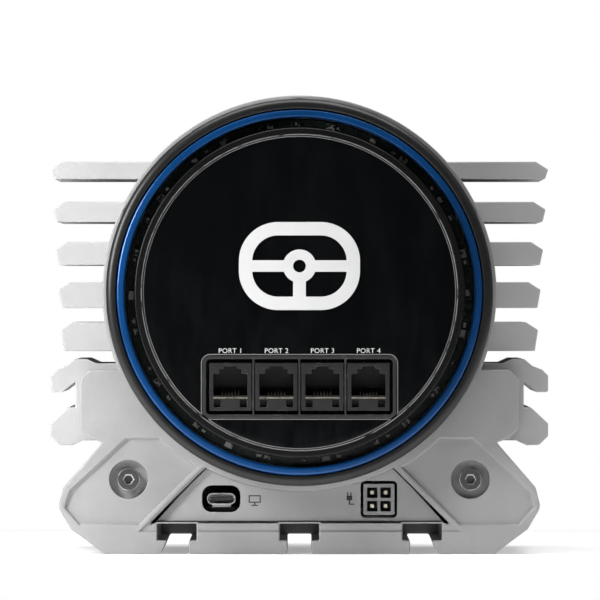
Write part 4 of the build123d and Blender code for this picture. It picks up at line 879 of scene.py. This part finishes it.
class WHEELBASE_OT_ports(Operator):
    """Port panel, data port and power inlet of the lower bay"""

    bl_idname = "wheel_base.ports"
    bl_label = "Lower ports"

    def execute(self, context):
        shape = context.scene.wheel_base_shape
        soften("port_panel", shape.moulding_edge * 2)
        soften("usb_port_shell", shape.moulding_edge * 0.6)
        soften("power_inlet", shape.moulding_edge)
        return {"FINISHED"}


class WHEELBASE_OT_fasteners(Operator):
    """Screws that show on the outside"""

    bl_idname = "wheel_base.fasteners"
    bl_label = "Screws"

    def execute(self, context):
        shape = context.scene.wheel_base_shape
        for node in ("rear_frame_screws", "front_frame_screws", "front_cover_screws"):
            soften(node, shape.screw_edge, TURNED_ANGLE)
        return {"FINISHED"}


class WHEELBASE_OT_front(Operator):
    """Front cover, power button, output hub and clamp collar"""

    bl_idname = "wheel_base.front"
    bl_label = "Front and hub"

    def execute(self, context):
        shape = context.scene.wheel_base_shape
        soften("front_cover", shape.screw_edge * 1.5, TURNED_ANGLE, smooth=CONE_ANGLE)
        for node in ("power_button", "quick_release_hub", "hub_clamp_collar"):
            soften(node, shape.screw_edge, TURNED_ANGLE)
        soften("wheel_connector", shape.moulding_edge, TURNED_ANGLE)
        return {"FINISHED"}


class WHEELBASE_OT_finishes(Operator):
    """Materials for every slot, put on every piece of the frame"""

    bl_idname = "wheel_base.finishes"
    bl_label = "Finishes"

    def execute(self, context):
        make_effects()
        for name, values in finish_table(context.scene.wheel_base_colours).items():
            make_finish(name, **values)
        for node, piece in frame["nodes"].items():
            piece.data.materials.clear()
            piece.data.materials.append(finishes[node_slot[node]])
        return {"FINISHED"}


# ---- stage
def area_light(name, place, target, size, power):
    """Rectangular light at a place, aimed at a target; size is (width, height)."""
    data = bpy.data.lights.new(name, "AREA")
    data.shape = "RECTANGLE"
    data.size, data.size_y = size
    data.energy = power
    light = bpy.data.objects.new(name, data)
    bpy.context.scene.collection.objects.link(light)
    light.location = place
    light.rotation_euler = (target - Vector(place)).to_track_quat("-Z", "Y").to_euler()
    light.visible_camera = False


class WHEELBASE_OT_stage(Operator):
    """Pale floor, soft studio lights and the camera"""

    bl_idname = "wheel_base.stage"
    bl_label = "Stage"

    def execute(self, context):
        stage = context.scene.wheel_base_stage
        self.floor(stage)
        self.world(stage)
        centre = Vector((0, 0, axis_z))
        lower_left = Vector((-0.03, -0.09, 0.06))
        area_light("Key light", (-0.22, -0.25, 0.15), lower_left, (0.08, 0.12), stage.key_power)
        area_light("Fill light", (0.75, -0.5, 0.3), centre, (0.5, 0.6), stage.fill_power)
        area_light("Top light", (0.0, -0.2, 0.75), centre, (0.9, 0.5), stage.top_power)
        self.camera(context, stage)
        context.scene.view_settings.view_transform = "Standard"
        return {"FINISHED"}

    def floor(self, stage):
        """Round floor under the part."""
        bm = bmesh.new()
        bmesh.ops.create_circle(bm, segments=96, radius=stage.floor_radius, cap_ends=True)
        mesh = bpy.data.meshes.new("floor")
        bm.to_mesh(mesh)
        bm.free()
        floor = bpy.data.objects.new("floor", mesh)
        floor.location.z = cad_low.z - 0.05 * MM
        bpy.context.scene.collection.objects.link(floor)
        material = bpy.data.materials.new("floor")
        material.use_nodes = True
        shader = material.node_tree.nodes["Principled BSDF"]
        shader.inputs["Base Color"].default_value = (0.93, 0.93, 0.93, 1)
        shader.inputs["Roughness"].default_value = 0.8
        shader.inputs["Emission Color"].default_value = (1, 1, 1, 1)
        shader.inputs["Emission Strength"].default_value = stage.floor_glow
        mesh.materials.append(material)

    def world(self, stage):
        """Soft light from all round, dimmer on the camera's side, and a plain pale backdrop."""
        world = bpy.data.worlds.new("studio")
        world.use_nodes = True
        tree = world.node_tree
        tree.nodes.clear()
        generated = add_node(tree, "ShaderNodeTexCoord").outputs["Generated"]
        direction = add_node(tree, "ShaderNodeSeparateXYZ", {0: generated})
        side = spread(tree, direction.outputs["Y"], -0.9, 0.3, 0.02, 0.32)
        room = add_node(tree, "ShaderNodeBackground", {"Color": (1, 1, 1, 1), "Strength": side})
        plain = add_node(tree, "ShaderNodeBackground", {"Color": (1, 1, 1, 1), "Strength": stage.backdrop})
        seen = add_node(tree, "ShaderNodeLightPath").outputs["Is Camera Ray"]
        mixed = add_node(tree, "ShaderNodeMixShader", {0: seen, 1: room.outputs[0], 2: plain.outputs[0]})
        add_node(tree, "ShaderNodeOutputWorld", {"Surface": mixed.outputs[0]})
        bpy.context.scene.world = world

    def camera(self, context, stage):
        """Long lens, level with the motor axis and square to the rear cover."""
        data = bpy.data.cameras.new("camera")
        data.sensor_width = 36.0
        data.lens = data.sensor_width * stage.camera_distance / stage.view_width
        data.clip_end = 60.0
        camera = bpy.data.objects.new("camera", data)
        camera.location = (stage.view_side, cad_low.y - stage.camera_distance, axis_z - stage.view_drop)
        camera.rotation_euler = (math.pi / 2, 0, 0)
        context.scene.collection.objects.link(camera)
        context.scene.camera = camera


# ---- add-on
class WHEELBASE_PT_panel(Panel):
    """Buttons and settings of the wheel base"""

    bl_idname = "WHEELBASE_PT_panel"
    bl_label = "Racing Wheel Base"
    bl_space_type = "VIEW_3D"
    bl_region_type = "UI"
    bl_category = "Wheel Base"

    def draw(self, context):
        layout = self.layout
        for operator in STEPS:
            layout.operator(operator.bl_idname)
        for holder in SETTINGS:
            settings = getattr(context.scene, holder)
            box = layout.box()
            for name in settings.__annotations__:
                box.prop(settings, name)


STEPS = (
    WHEELBASE_OT_finishes, WHEELBASE_OT_housing, WHEELBASE_OT_rings, WHEELBASE_OT_rear_cover,
    WHEELBASE_OT_prints, WHEELBASE_OT_jacks, WHEELBASE_OT_ports, WHEELBASE_OT_fasteners, WHEELBASE_OT_front,
    WHEELBASE_OT_stage,
)
SETTINGS = {
    "wheel_base_shape": WheelBaseShape,
    "wheel_base_colours": WheelBaseColours,
    "wheel_base_stage": WheelBaseStage,
}
CLASSES = (*SETTINGS.values(), *STEPS, WHEELBASE_PT_panel)


def register():
    """Register the classes and hang the settings on the scene."""
    for item in CLASSES:
        bpy.utils.register_class(item)
    for name, group in SETTINGS.items():
        setattr(bpy.types.Scene, name, PointerProperty(type=group))


def unregister():
    """Undo register."""
    for name in SETTINGS:
        delattr(bpy.types.Scene, name)
    for item in reversed(CLASSES):
        bpy.utils.unregister_class(item)


def main():
    """Build everything in order."""
    register()
    for operator in STEPS:
        call = getattr(bpy.ops.wheel_base, operator.bl_idname.split(".")[1])
        if "FINISHED" not in call():
            raise RuntimeError(f"{operator.bl_label} did not finish")


if __name__ == "__main__":
    main()
